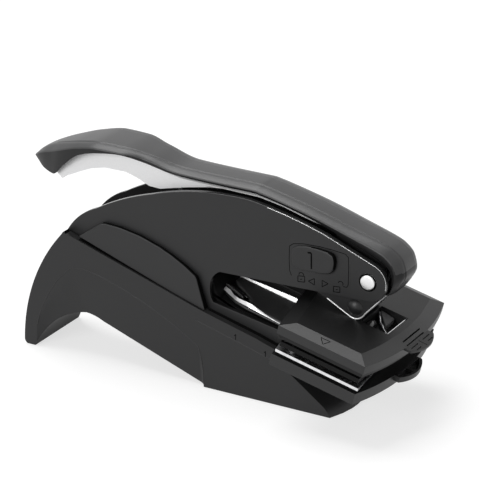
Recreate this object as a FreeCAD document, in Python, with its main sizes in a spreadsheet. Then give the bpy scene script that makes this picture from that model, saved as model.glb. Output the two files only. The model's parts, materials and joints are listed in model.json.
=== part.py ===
import FreeCAD, Part
import math
import os
import Sketcher

# Hand-held seal embosser: a C-shaped frame of two steel plates on a moulded base, a lever
# with a moulded cover, a press arm with a roller, and a die clip that slides into the throat.
# X runs from the handle's tail to the clip's tab, Z is up, Y=0 is the plane of symmetry and
# the origin lies on the table under the middle of the machine. Lengths are millimetres.

os.makedirs("parts", exist_ok=True)
doc = FreeCAD.newDocument("SealEmbosser")
sheet = doc.addObject("Spreadsheet::Sheet", "Dims")
Vector = FreeCAD.Vector


# ---------------------------------------------------------------- sizes held in the sheet

class Size:
    """A length or angle of the sheet, or a sum of such, with the expression that binds it."""

    def __init__(self, value, text):
        self.value = float(value)
        self.text = text

    def __add__(self, other):
        other = size(other)
        return Size(self.value + other.value, f"({self.text} + {other.text})")

    def __radd__(self, other):
        return size(other) + self

    def __sub__(self, other):
        other = size(other)
        return Size(self.value - other.value, f"({self.text} - {other.text})")

    def __rsub__(self, other):
        return size(other) - self

    def __mul__(self, other):
        other = size(other)
        return Size(self.value * other.value, f"({self.text} * {other.text})")

    def __rmul__(self, other):
        return size(other) * self

    def __truediv__(self, other):
        other = size(other)
        return Size(self.value / other.value, f"({self.text} / {other.text})")

    def __neg__(self):
        return Size(-self.value, f"(0 - {self.text})")


def size(thing):
    if isinstance(thing, Size):
        return thing
    return Size(thing, f"({float(thing)})")


def sine(angle):
    return Size(math.sin(math.radians(angle.value)), f"sin({angle.text} * 1 deg)")


def cosine(angle):
    return Size(math.cos(math.radians(angle.value)), f"cos({angle.text} * 1 deg)")


row_count = 0


def dimension(name, value, note):
    """One row of the sheet: the value with its alias, and what it measures."""
    global row_count
    row_count += 1
    sheet.set(f"A{row_count}", note)
    sheet.set(f"B{row_count}", str(value))
    sheet.setAlias(f"B{row_count}", name)
    return Size(value, f"Dims.{name}")


play = dimension("running_play", 0.05, "radial play of a pin or roller in its bore")
gap = dimension("sliding_gap", 0.3, "gap between parts that pass each other")

# frame
frame_inner = dimension("frame_inner", 8.5, "half the space between the frame plates")
plate_thick = dimension("plate_thick", 2.0, "thickness of a frame plate")
frame_outer = frame_inner + plate_thick
pivot_x = dimension("pivot_x", 59.6, "lever pivot, along the machine")
pivot_z = dimension("pivot_z", 51.0, "lever pivot, above the table")
pivot_radius = dimension("pivot_radius", 3.2, "radius of the pivot pin")
nose_radius = dimension("nose_radius", 6.9, "radius of the plates round the pivot")
dome_z = dimension("dome_z", 71.8, "top of the domed plates")
throat_z = dimension("throat_z", 43.3, "upper edge of the throat")
throat_end = dimension("throat_end", 3.0, "where the throat's round end starts")

# base
base_half = dimension("base_half", 14.3, "half the width of the base")
base_rear = dimension("base_rear", -76.5, "rear of the heel")
base_top_rear = dimension("base_top_rear", -57.3, "rear end of the base's sloping top")
base_top_z = dimension("base_top_z", 47.5, "height of the base's top at the rear")
base_front = dimension("base_front", 48.2, "toe of the base at its sides")
base_bow = dimension("base_bow", 3.4, "how far the toe bows forward in the middle")
base_shelf = dimension("base_shelf", 31.0, "front end of the base's sloping top")
base_shelf_z = dimension("base_shelf_z", 19.4, "height of the base's top at the front")
arch_z = dimension("arch_z", 17.0, "height of the hand arch")
facet_depth = dimension("facet_depth", 1.6, "how far the sides draw in at the arch")
seat_depth = dimension("seat_depth", 7.0, "how deep the plates stand in the base")
rivet_rise = dimension("rivet_rise", 6.6, "rivets above the base's top")
rivet_radius = dimension("rivet_radius", 2.0, "radius of the frame's rivets")
slot_outer = dimension("slot_outer", 12.0, "outer side of the slots the plates stand in")
panel_foot = dimension("panel_foot", 13.4, "half the width across the side panels, below")
panel_head = dimension("panel_head", 12.1, "half the width across the side panels, above")

# die clip, in a frame that starts at the upper jaw's rear edge and tilts down to the front
clip_x = dimension("clip_x", 36.8, "upper jaw's rear edge, along the machine")
clip_z = dimension("clip_z", 38.1, "upper jaw's rear edge, above the table")
clip_tilt = dimension("clip_tilt", 13.5, "slope of the clip, degrees")
clip_half = dimension("clip_half", 30.0, "half the width of the clip")
jaw_depth = dimension("jaw_depth", 33.2, "depth of a jaw at its sides")
front_bow = dimension("front_bow", 4.4, "how far the front bows out in the middle")
rear_point = dimension("rear_point", 5.6, "how far the rear points back in the middle")
upper_thick = dimension("upper_thick", 4.2, "height of the upper jaw's side")
crown_rise = dimension("crown_rise", 1.5, "rise of the upper jaw's crown")
crown_inset = dimension("crown_inset", 4.0, "width of the crown's sloping border")
lower_thick = dimension("lower_thick", 4.2, "height of the lower jaw")
backing_thick = dimension("backing_thick", 2.0, "upper backing plate")
die_thick = dimension("die_thick", 1.7, "upper die plate")
paper_gap = dimension("paper_gap", 1.3, "open gap between the die plates")
anvil_die_thick = dimension("anvil_die_thick", 1.0, "lower die plate")
pad_thick = dimension("pad_thick", 1.0, "pad under the lower die plate")
die_margin = dimension("die_margin", 1.2, "least wall between a die and its plate's edge")
plate_inset = dimension("plate_inset", 1.5, "how far the upper die plate lies in from the jaw")
tab_length = dimension("tab_length", 42.2, "front of the finger tabs from the rear edge")
tab_half = dimension("tab_half", 8.6, "half the width of the finger tabs")
tongue_length = dimension("tongue_length", 32.0, "how far the tongue reaches into the throat")
tongue_thick = dimension("tongue_thick", 1.3, "thickness of the tongue")
anvil_thick = dimension("anvil_thick", 2.0, "thickness of the anvil plate")
guide_radius = dimension("guide_radius", 1.6, "radius of the jaws' guide pins")
front_recess = dimension("front_recess", 2.2, "how far the plates' fronts lie back in the middle")
tab_bulge = dimension("tab_bulge", 2.6, "how far the finger tabs' fronts bulge")
guide_inset = dimension("guide_inset", 6.0, "guide pins in from the clip's sides")
guide_setback = dimension("guide_setback", 5.0, "guide pins from the rear edge")
lip_height = dimension("lip_height", 2.0, "height of the tongue's bright lips")

# lever, cover and press arm
lever_half = dimension("lever_half", 6.0, "half the width of the lever channel")
lever_wall = dimension("lever_wall", 1.5, "wall of the lever channel")
cover_half = dimension("cover_half", 8.0, "half the width of the cover at its waist")
grip_half = dimension("grip_half", 11.7, "half the width of the cover at the grip")
cover_wall = dimension("cover_wall", 2.2, "wall of the handle cover's top")
cover_side = dimension("cover_side", 1.6, "wall of the handle cover's sides")
bush_radius = dimension("bush_radius", 4.3, "outer radius of the pivot bush")
arm_half = dimension("arm_half", 7.9, "half the width of the press arm")
arm_wall = dimension("arm_wall", 1.4, "wall of the press arm")
arm_pivot_x = dimension("arm_pivot_x", 6.0, "press arm pivot, along the machine")
arm_pivot_z = dimension("arm_pivot_z", 50.0, "press arm pivot, above the table")
arm_pin_radius = dimension("arm_pin_radius", 2.4, "radius of the press arm's pivot pin")
press_along = dimension("press_along", 16.1, "press pin, along the clip")
foot_radius = dimension("foot_radius", 4.0, "radius of the press arm's foot")
press_pin_radius = dimension("press_pin_radius", 1.8, "radius of the press pin")
roller_radius = dimension("roller_radius", 3.0, "radius of the press roller")
cam_back = dimension("cam_back", 10.0, "cam centre behind the lever pivot")
cam_rise = dimension("cam_rise", 1.5, "cam centre above the lever pivot")

spring_x = dimension("spring_x", -22.0, "return spring, along the machine")
spring_seat = dimension("spring_seat", 46.0, "foot of the return spring, above the table")
spring_top = dimension("spring_top", 72.9, "top of the return spring, above the table")
spring_wire = dimension("spring_wire", 0.5, "radius of the return spring's wire")

# handle lock
lock_x = dimension("lock_x", 41.05, "middle of the lock plate, along the machine")
lock_z = dimension("lock_z", 53.4, "middle of the lock plate, above the table")
lock_length = dimension("lock_length", 22.3, "length of the lock plate")
lock_height = dimension("lock_height", 10.8, "height of the lock plate")
lock_thick = dimension("lock_thick", 0.8, "thickness of the lock plate")
button_length = dimension("button_length", 16.4, "length of the lock button")
button_height = dimension("button_height", 7.2, "height of the lock button")
button_proud = dimension("button_proud", 1.3, "how far the lock button stands out")
lock_travel = dimension("lock_travel", 3.6, "travel of the lock button")
shank_length = dimension("shank_length", 8.0, "length of the lock button's shank")
shank_height = dimension("shank_height", 3.4, "height of the lock button's shank")

die_front = jaw_depth - front_recess - die_margin
die_radius = ((die_front + rear_point - plate_inset) * 0.98 - die_margin) / 1.98
die_centre = die_front - die_radius
upper_bottom = -upper_thick
upper_plates = upper_bottom - backing_thick - die_thick
lower_plates = upper_plates - paper_gap
lower_top = lower_plates - anvil_die_thick - pad_thick
lower_bottom = lower_top - lower_thick
anvil_bottom = lower_bottom - anvil_thick


# ---------------------------------------------------------------- helpers

def new_body(label):
    body = doc.addObject("PartDesign::Body", label)
    body.Label = label
    return body


def sketch_on(body, role, lift=None):
    """A sketch on one of the body's own origin planes, lifted along the plane's normal."""
    sketch = body.newObject("Sketcher::SketchObject", body.Label + "_outline")
    plane = [item for item in body.Origin.OriginFeatures if item.Role == role][0]
    sketch.AttachmentSupport = (plane, "")
    sketch.MapMode = "FlatFace"
    if lift is not None:
        sketch.setExpression("AttachmentOffset.Base.z", size(lift).text)
    return sketch


def bind(sketch, kind, item, corner, length):
    """One driving constraint of the sketch, bound to the sheet."""
    if corner is None:
        index = sketch.addConstraint(Sketcher.Constraint(kind, item, abs(length.value)))
    else:
        index = sketch.addConstraint(Sketcher.Constraint(kind, item, corner, length.value))
    sketch.setExpression(f"Constraints[{index}]", length.text)


def arc_between(start, end, radius):
    """The short arc from start to end; a positive radius turns left, a negative one right."""
    chord = end - start
    half = chord.Length / 2
    rise = math.sqrt(max(radius * radius - half * half, 0.0))
    left = Vector(-chord.y, chord.x, 0).normalize()
    side = 1 if radius > 0 else -1
    centre = (start + end) / 2 + left * (rise * side)
    first, last = (start, end) if radius > 0 else (end, start)
    from_angle = math.atan2(first.y - centre.y, first.x - centre.x)
    to_angle = math.atan2(last.y - centre.y, last.x - centre.x)
    circle = Part.Circle(centre, Vector(0, 0, 1), abs(radius))
    return Part.ArcOfCircle(circle, from_angle, to_angle)


def outline(sketch, *corners):
    """Closes a loop through the corners. Each is (x, y), or (x, y, radius) when the stretch
    that leads to it is an arc: positive turns left along the way, negative turns right."""
    corners = [tuple(size(value) for value in corner) for corner in corners]
    points = [Vector(corner[0].value, corner[1].value, 0) for corner in corners]
    first_item = sketch.GeometryCount
    starts = []
    ends = []
    for index, corner in enumerate(corners):
        start = points[index - 1]
        end = points[index]
        if len(corner) == 3:
            item = sketch.addGeometry(arc_between(start, end, corner[2].value), False)
            turned = corner[2].value < 0
            starts.append((item, 2 if turned else 1))
            ends.append((item, 1 if turned else 2))
        else:
            item = sketch.addGeometry(Part.LineSegment(start, end), False)
            starts.append((item, 1))
            ends.append((item, 2))
    for index, corner in enumerate(corners):
        after = (index + 1) % len(corners)
        item, point = ends[index]
        sketch.addConstraint(Sketcher.Constraint("Coincident", item, point, *starts[after]))
        bind(sketch, "DistanceX", item, point, corner[0])
        bind(sketch, "DistanceY", item, point, corner[1])
        if len(corner) == 3:
            radius = corner[2] if corner[2].value > 0 else -corner[2]
            bind(sketch, "Radius", first_item + index, None, radius)
    return sketch


def circle(sketch, x, y, radius):
    item = sketch.addGeometry(Part.Circle(Vector(size(x).value, size(y).value, 0),
                                          Vector(0, 0, 1), size(radius).value), False)
    bind(sketch, "Radius", item, None, size(radius))
    bind(sketch, "DistanceX", item, 3, size(x))
    bind(sketch, "DistanceY", item, 3, size(y))
    return sketch


def rectangle(sketch, x_low, x_high, y_low, y_high):
    return outline(sketch, (x_low, y_low), (x_high, y_low), (x_high, y_high), (x_low, y_high))


def pad(sketch, length, both_ways=False, against=False):
    """Raises the sketch by the length along its normal, or half of it each way."""
    body = sketch.getParentGeoFeatureGroup()
    feature = body.newObject("PartDesign::Pad", body.Label + "_pad")
    feature.Profile = sketch
    feature.SideType = "Symmetric" if both_ways else "One side"
    feature.Reversed = against
    feature.setExpression("Length", size(length).text)
    sketch.Visibility = False
    return feature


def pocket(sketch, length, both_ways=False, along=False):
    """Cuts the sketch to the length against its normal, along it, or half each way."""
    body = sketch.getParentGeoFeatureGroup()
    before = body.Shape.Volume if body.Tip else 0
    feature = body.newObject("PartDesign::Pocket", body.Label + "_pocket")
    feature.Profile = sketch
    feature.SideType = "Symmetric" if both_ways else "One side"
    feature.Reversed = along
    feature.setExpression("Length", size(length).text)
    doc.recompute()
    if not body.Shape.Volume < before - 1e-6:
        raise RuntimeError(feature.Name + " cuts nothing")
    return feature


def loft(first, others):
    """A ruled solid through sketches with the same corners."""
    body = first.getParentGeoFeatureGroup()
    feature = body.newObject("PartDesign::AdditiveLoft", body.Label + "_loft")
    feature.Profile = first
    feature.Sections = others
    feature.Ruled = True
    return feature


def round_edges(body, radius, wanted, chamfer=False):
    """Rounds the edges of the body's tip that the test picks."""
    doc.recompute()
    base = body.Tip
    names = [f"Edge{number + 1}" for number, edge in enumerate(base.Shape.Edges) if wanted(edge)]
    kind = "PartDesign::Chamfer" if chamfer else "PartDesign::Fillet"
    feature = body.newObject(kind, body.Label + "_edges")
    feature.Base = (base, names)
    feature.setExpression("Size" if chamfer else "Radius", size(radius).text)
    return feature


def upright(edge):
    """A straight edge square to the sketch of a plan outline."""
    ends = [vertex.Point for vertex in edge.Vertexes]
    if len(ends) < 2:
        return False
    return abs(ends[0].x - ends[1].x) < 1e-6 and abs(ends[0].y - ends[1].y) < 1e-6


def place_in_clip(body):
    """Sets a body that is drawn along the clip onto the clip's slope."""
    body.setExpression("Placement.Base.x", clip_x.text)
    body.setExpression("Placement.Base.z", clip_z.text)
    body.Placement.Rotation = FreeCAD.Rotation(Vector(0, 1, 0), clip_tilt.value)
    body.setExpression("Placement.Rotation.Angle", f"{clip_tilt.text} * 1 deg")


def clip_point(along, height):
    """The side-view place of a point that is given along the clip and above its edge."""
    x = clip_x + along * cosine(clip_tilt) + height * sine(clip_tilt)
    z = clip_z - along * sine(clip_tilt) + height * cosine(clip_tilt)
    return x, z


def pin(label, x, z, radius, half_length):
    """A plain pin across the machine."""
    body = new_body(label)
    pad(circle(sketch_on(body, "XZ_Plane"), x, z, radius), 2 * half_length, both_ways=True)
    return body


def base_top(x):
    """Height of the base's sloping top at x."""
    slope = (base_top_z - base_shelf_z) / (base_shelf - base_top_rear)
    return base_top_z - (x - base_top_rear) * slope


press_x, press_z = clip_point(press_along, crown_rise + foot_radius + play)


def rivet_places():
    """Where the two rivets cross the plates and the core, above the base's top."""
    return [(size(-40.0), base_top(-40.0) + rivet_rise), (size(-12.0), base_top(-12.0) + rivet_rise + 1)]


# ---------------------------------------------------------------- base and frame

def base_outline(body, lift, bow):
    """Side view of the base: heel, hand arch, flat sole, toe and the sloping top."""
    sketch = sketch_on(body, "XZ_Plane", lift)
    toe = base_front + bow
    return outline(
        sketch,
        (base_rear + 4.6, 0.0),
        (-50.5, arch_z, -27.8),
        (-43.5, arch_z - 1.9, -17.6),
        (-3.4, 0.8),
        (-1.6, 0.0),
        (toe, 0.0),
        (toe - 3.2, 4.0, 9.0),
        (base_shelf + bow, 14.1),
        (base_shelf + bow, base_top(base_shelf + bow)),
        (base_top_rear, base_top_z),
        (base_top_rear - 1.9, base_top_z - 1.6, 3.0),
        (base_rear, 2.0, 69.5),
        (base_rear + 1.2, 0.0, 2.0),
    )


def make_base():
    body = new_body("base_housing")
    sections = []
    for share in (1.0, 0.6, 0.25, 0.0, -0.25, -0.6, -1.0):
        bow = base_bow * (1 - share * share)
        sections.append(base_outline(body, base_half * share, bow))
    loft(sections[0], sections[1:])
    doc.recompute()
    floor = base_top(-52.2) - seat_depth - 0.1
    step = base_top(30.5) - seat_depth - 0.1
    for lift in (slot_outer, -frame_inner + play):
        slot = sketch_on(body, "XZ_Plane", lift)
        outline(
            slot,
            (base_top_rear - 3.3, base_top_z - 2.3),
            (-52.2, floor),
            (30.5, step),
            (base_front + base_bow + 4, step),
            (base_front + base_bow + 4, base_top_z),
            (base_top_rear - 3.3, base_top_z + 9.5),
        )
        pocket(slot, slot_outer - frame_inner + play)
    for side in (1, -1):
        crease = sketch_on(body, "XZ_Plane", base_half * side)
        outline(
            crease,
            (-71.4, -2.0),
            (-70.9, 9.3),
            (-55.6, 33.8, -80.0),
            (-43.0, 32.8, -14.0),
            (-15.9, 22.4, -120.0),
            (-3.4, 15.1, -60.0),
            (-1.4, 2.4, -30.0),
            (-1.4, -2.0),
        )
        edge = sketch_on(body, "XZ_Plane", (base_half - facet_depth) * side)
        outline(
            edge,
            (-70.0, -2.0),
            (-66.8, 8.0),
            (-50.5, arch_z - 0.6, -27.8),
            (-43.5, arch_z - 2.5, -17.6),
            (-16.0, arch_z - 12.3, -300.0),
            (-3.4, 0.3, -400.0),
            (-2.4, -0.6, -30.0),
            (-2.4, -2.0),
        )
        facet = body.newObject("PartDesign::SubtractiveLoft", "base_facet")
        facet.Profile = crease
        facet.Sections = [edge]
        facet.Ruled = True
    return body


def plate_outline(sketch, guard):
    """Side view of a frame plate: the dome, the nose round the pivot and the throat. The far
    plate has a guard that leaves only a slit for the sheet above the tongue's lip."""
    tangent_x = 0.37
    tangent_z = 0.929
    step_x, step_z = clip_point(size(-5.0), anvil_bottom)
    floor_x, floor_z = clip_point(size(-5.0), lower_top - 2 * tongue_thick)
    toe_x, toe_z = clip_point(size(25.0), anvil_bottom)
    rear_floor_x, rear_floor_z = clip_point(size(-33.8), lower_top - 2 * tongue_thick)
    mouth = [
        (step_x, step_z),
        (floor_x, floor_z),
        (rear_floor_x, rear_floor_z),
        (throat_end, throat_z - 0.4, -6.7),
    ]
    if guard:
        slit_low = lower_top + lip_height
        slit_end = -tongue_length + 2.0
        mouth = [
            (step_x, step_z),
            clip_point(size(-5.0), slit_low),
            clip_point(slit_end, slit_low),
            clip_point(slit_end, slit_low + paper_gap),
            clip_point(size(-5.4), slit_low + paper_gap),
            clip_point(size(-5.4), size(2.0)),
            (clip_x - 5.0, throat_z),
        ]
    return outline(
        sketch,
        (-52.0, base_top(-52.0) - seat_depth),
        (30.5, base_top(30.5) - seat_depth),
        (toe_x - 5, toe_z - 2.4),
        (toe_x, toe_z),
        *mouth,
        (pivot_x, pivot_z - nose_radius),
        (pivot_x + nose_radius, pivot_z, nose_radius),
        (pivot_x + nose_radius * tangent_x, pivot_z + nose_radius * tangent_z, nose_radius),
        (43.2, dome_z - 6.8),
        (14.1, dome_z - 0.1, 164.0),
        (-24.6, dome_z - 5.7, 107.0),
        (-47.0, dome_z - 15.2, 97.5),
        (base_top_rear - 2.0, base_top_z - 1.4, 24.0),
    )


def make_plate(label, near):
    body = new_body(label)
    lift = frame_inner if near else -frame_outer
    pad(plate_outline(sketch_on(body, "XZ_Plane", lift), not near), plate_thick)
    bores = sketch_on(body, "XZ_Plane", size(0))
    circle(bores, pivot_x, pivot_z, pivot_radius)
    for x, z in rivet_places():
        circle(bores, x, z, rivet_radius)
    doc.recompute()
    pocket(bores, 4 * frame_outer, both_ways=True)
    socket = sketch_on(body, "XZ_Plane", frame_inner if near else -frame_inner)
    circle(socket, arm_pivot_x, arm_pivot_z, arm_pin_radius)
    pocket(socket, plate_thick / 2, along=near)
    if near:
        recess = sketch_on(body, "XZ_Plane", frame_outer - lock_thick)
        rectangle(recess, lock_x - lock_length / 2, lock_x + lock_length / 2,
                  lock_z - lock_height / 2, lock_z + lock_height / 2)
        pocket(recess, 2 * lock_thick, along=True)
        slot = sketch_on(body, "XZ_Plane", frame_inner - 1)
        lock_slot(slot)
        pocket(slot, plate_thick + 2, along=True)
    return body


def lock_slot(sketch):
    """The slot that the lock button's shank slides in."""
    left = lock_x - button_length / 2 + 2.6
    return rectangle(sketch, left - play, left + shank_length + lock_travel + play,
                     lock_z + 0.9 - shank_height / 2 - play, lock_z + 0.9 + shank_height / 2 + play)


def make_core():
    """The block between the plates: throat floor, stop wall and rear filling."""
    body = new_body("frame_core")
    sketch = sketch_on(body, "XZ_Plane")
    floor = lower_top - tongue_thick - play
    back = -rear_point - 0.6
    end_x, end_z = clip_point(-tongue_length - 1, floor)
    step_x, step_z = clip_point(back, floor)
    shelf_x, shelf_z = clip_point(back, anvil_bottom)
    toe_x, toe_z = clip_point(size(25.0), anvil_bottom)
    outline(
        sketch,
        (-51.0, base_top(-51.0)),
        (base_shelf + base_bow + 0.2, base_top(base_shelf + base_bow + 0.2)),
        (base_shelf + base_bow + 0.2, 14.6),
        (toe_x - 5, toe_z - 2.4),
        (toe_x, toe_z),
        (shelf_x, shelf_z),
        (step_x, step_z),
        (end_x, end_z),
        (throat_end - 5, throat_z - 3),
        (-12.0, spring_seat + 1.5),
        (-34.0, spring_seat + 5.5, 60.0),
        (-51.0, spring_seat + 2.0, 40.0),
    )
    pad(sketch, 2 * (frame_inner - play), both_ways=True)
    doc.recompute()
    bores = sketch_on(body, "XZ_Plane")
    for x, z in rivet_places():
        circle(bores, x, z, rivet_radius)
    pocket(bores, 4 * frame_inner, both_ways=True)
    well = sketch_on(body, "XY_Plane", spring_seat)
    circle(well, spring_x, 0.0, 4.4)
    pocket(well, 20.0, along=True)
    return body


def make_rivets():
    body = new_body("frame_rivets")
    sketch = sketch_on(body, "XZ_Plane")
    for x, z in rivet_places():
        circle(sketch, x, z, rivet_radius)
    body.AllowCompound = True
    feature = pad(sketch, 2 * frame_outer, both_ways=True)
    feature.AllowMultiFace = True
    return body


def make_side_panel(label, near):
    """The raised panel that covers the plate's rivets; its face leans in towards the top."""
    body = new_body(label)
    sketch = sketch_on(body, "XZ_Plane", frame_outer if near else -base_half)
    outline(
        sketch,
        (-52.2, base_top(-52.2) + 0.2),
        (0.5, base_top(0.5) + 0.2),
        (-0.9, 36.2),
        (-3.5, 41.4),
        (-42.5, 53.8, 73.6),
    )
    pad(sketch, base_half - frame_outer)
    doc.recompute()
    lean = sketch_on(body, "YZ_Plane")
    slope = (base_top_z - base_shelf_z) / (base_shelf - base_top_rear)
    lean.AttachmentOffset = FreeCAD.Placement(
        Vector(0, base_top(-20.0).value, -20.0),
        FreeCAD.Rotation(Vector(1, 0, 0), math.degrees(math.atan(slope.value))))
    lean.setExpression("AttachmentOffset.Base.y", base_top(-20.0).text)
    lean.setExpression("AttachmentOffset.Rotation.Angle", f"atan({slope.text})")
    side = -1 if near else 1
    corners = [(side * panel_foot, size(0.0)), (side * panel_head, size(11.0)),
               (side * panel_head, size(16.0)), (side * (base_half + 3), size(16.0)),
               (side * (base_half + 3), size(-3.0)), (side * panel_foot, size(-3.0))]
    outline(lean, *corners)
    pocket(lean, 160.0, both_ways=True)
    return body


def make_anvil():
    body = new_body("anvil_plate")
    sketch = sketch_on(body, "XY_Plane", anvil_bottom)
    rectangle(sketch, size(-3.0), size(31.0), size(-12.0), size(12.0))
    pad(sketch, anvil_thick)
    round_edges(body, 2.0, upright)
    place_in_clip(body)
    return body


# ---------------------------------------------------------------- handle lock

def make_lock():
    plate = new_body("lock_plate")
    sketch = sketch_on(plate, "XZ_Plane", frame_outer - lock_thick)
    rectangle(sketch, lock_x - lock_length / 2 + 0.1, lock_x + lock_length / 2 - 0.1,
              lock_z - lock_height / 2 + 0.1, lock_z + lock_height / 2 - 0.1)
    lock_slot(sketch)
    pad(sketch, lock_thick)

    slider = new_body("lock_slider")
    left = lock_x - lock_length / 2 + 1.5
    low = lock_z + 0.9 - button_height / 2
    button = sketch_on(slider, "XZ_Plane", frame_outer + play)
    outline(
        button,
        (left + 1.5, low, 1.5),
        (left + button_length - 1.5, low),
        (left + button_length, low + 1.5, 1.5),
        (left + button_length, low + button_height - 2.2),
        (left + button_length - 3.5, low + button_height - 0.6, 4.5),
        (left + 2.0, low + button_height, 60.0),
        (left, low + button_height - 2.5, 3.5),
        (left, low + 1.5),
    )
    pad(button, button_proud)
    shank = sketch_on(slider, "XZ_Plane", frame_inner - play)
    shank_left = lock_x - button_length / 2 + 2.6
    rectangle(shank, shank_left, shank_left + shank_length,
              lock_z + 0.9 - shank_height / 2, lock_z + 0.9 + shank_height / 2)
    pad(shank, plate_thick + 2 * play)
    doc.recompute()
    groove = sketch_on(slider, "XZ_Plane", frame_outer + button_proud - 0.6)
    rectangle(groove, left + 7.3, left + 8.0, low + 0.8, low + button_height - 0.9)
    pocket(groove, 2.0, along=True)

    retainer = new_body("slider_retainer")
    clip = sketch_on(retainer, "XZ_Plane", frame_inner - play - 0.6)
    rectangle(clip, shank_left - 2, shank_left + shank_length + 1,
              lock_z + 0.9 - button_height / 2 + 0.8, lock_z + 0.9 + button_height / 2 - 0.8)
    pad(clip, 0.6)
    return plate, slider, retainer


# ---------------------------------------------------------------- lever and cover

def nose_point(radius, degrees):
    """A point of the handle's nose, round the lever pivot."""
    angle = math.radians(degrees)
    return (pivot_x.value + radius * math.cos(angle), pivot_z.value + radius * math.sin(angle))


def cover_stations():
    """Cross-sections of the cover from tail to nose: the top, the skirt's lower edge, half the
    width of the flat top and of the skirt, and the drop of the sloping shoulder."""
    waist = cover_half.value
    grip = grip_half.value
    return [
        ((-77.8, 69.0), (-77.8, 68.2), 1.6, 2.8, 0.4),
        ((-72.4, 73.0), (-72.0, 66.6), 3.0, 5.2, 1.6),
        ((-67.6, 75.3), (-67.4, 64.6), 4.3, 0.60 * grip, 2.2),
        ((-62.8, 77.0), (-62.0, 68.6), 5.6, 0.76 * grip, 2.0),
        ((-55.0, 79.2), (-54.6, 74.4), 7.2, 0.90 * grip, 1.6),
        ((-46.0, 80.7), (-46.0, 77.0), 8.1, 0.98 * grip, 1.5),
        ((-37.0, 80.3), (-37.2, 77.9), 7.8, grip - 0.6, 1.4),
        ((-27.0, 78.4), (-27.6, 76.1), 6.1, waist + 0.4, 1.2),
        ((-14.6, 75.9), (-15.0, 73.7), 5.2, waist, 1.1),
        ((2.0, 75.5), (2.0, 73.2), 5.0, waist, 1.1),
        ((16.0, 75.3), (16.0, 72.9), 5.0, waist, 1.1),
        ((34.0, 71.2), (33.2, 68.9), 5.0, waist, 1.1),
        ((50.0, 66.6), (48.6, 63.8), 5.0, waist, 1.3),
        (nose_point(12.2, 62), nose_point(7.9, 62), 5.0, waist, 1.9),
        (nose_point(12.0, 36), nose_point(7.7, 36), 5.0, waist, 2.2),
        (nose_point(11.1, 12), nose_point(7.5, 12), 5.0, waist, 2.2),
        (nose_point(9.2, -12), nose_point(7.4, -12), 5.0, waist, 1.4),
        (nose_point(8.5, -34), nose_point(7.4, -34), 5.0, waist, 0.8),
    ]


def section(top, low, top_half, low_half, shoulder):
    """One cross-section: a flat top, two sloping shoulders and two upright sides."""
    up = Vector(top[0] - low[0], 0, top[1] - low[1])
    drop = up * (shoulder / up.Length)
    top_at = Vector(top[0], 0, top[1])
    low_at = Vector(low[0], 0, low[1])
    corners = []
    for point, half in ((low_at, low_half), (top_at - drop, low_half), (top_at, top_half)):
        corners.append(point - Vector(0, half, 0))
    for point, half in ((top_at, top_half), (top_at - drop, low_half), (low_at, low_half)):
        corners.append(point + Vector(0, half, 0))
    return Part.makePolygon(corners + [corners[0]])


def inner_stations(stations, wall, side):
    """The same cross-sections drawn in by the top's wall and the sides' wall, open below."""
    inner = []
    for top, low, top_half, low_half, shoulder in stations:
        up = Vector(top[0] - low[0], 0, top[1] - low[1])
        unit = up / up.Length
        new_top = (top[0] - unit.x * wall, top[1] - unit.z * wall)
        new_low = (low[0] - unit.x * 2, low[1] - unit.z * 2)
        inner.append((new_top, new_low, top_half - side * 0.6, low_half - side, shoulder))
    return inner


def eased(values, steps):
    """A row of numbers with points put between them along a smooth curve that never overshoots."""
    slopes = []
    for index in range(len(values)):
        before = values[index] - values[max(index - 1, 0)]
        after = values[min(index + 1, len(values) - 1)] - values[index]
        slopes.append(0.0 if before * after <= 0 else 2 * before * after / (before + after))
    row = []
    for index in range(len(values) - 1):
        low = values[index]
        high = values[index + 1]
        for step in range(steps):
            part = step / steps
            bend = part * part * (3 - 2 * part)
            start_pull = part * (1 - part) ** 2 * slopes[index]
            end_pull = part * part * (1 - part) * slopes[index + 1]
            row.append(low + (high - low) * bend + start_pull - end_pull)
    row.append(values[-1])
    return row


def refined(stations, steps):
    """The stations with others put smoothly between them."""
    columns = [[station[0][0] for station in stations], [station[0][1] for station in stations],
               [station[1][0] for station in stations], [station[1][1] for station in stations],
               [station[2] for station in stations], [station[3] for station in stations],
               [station[4] for station in stations]]
    columns = [eased(column, steps) for column in columns]
    return [((row[0], row[1]), (row[2], row[3]), row[4], row[5], row[6]) for row in zip(*columns)]


def through(stations):
    """A ruled solid through the cross-sections."""
    return Part.makeLoft([section(*station) for station in stations], True, True)


def make_cover():
    stations = refined(cover_stations(), 2)
    outer = through(stations)
    hollow = through(inner_stations(stations[3:-1], cover_wall.value, cover_side.value))
    shell = outer.cut(hollow)
    for x, z in cover_screw_places():
        pilot = Part.makeCylinder(1.2, 2.0, Vector(x, 0, z - 0.5), Vector(0, 0, 1))
        shell = shell.cut(pilot)
    cover = doc.addObject("Part::Feature", "handle_cover")
    cover.Label = "handle_cover"
    cover.Shape = shell
    return cover


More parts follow.
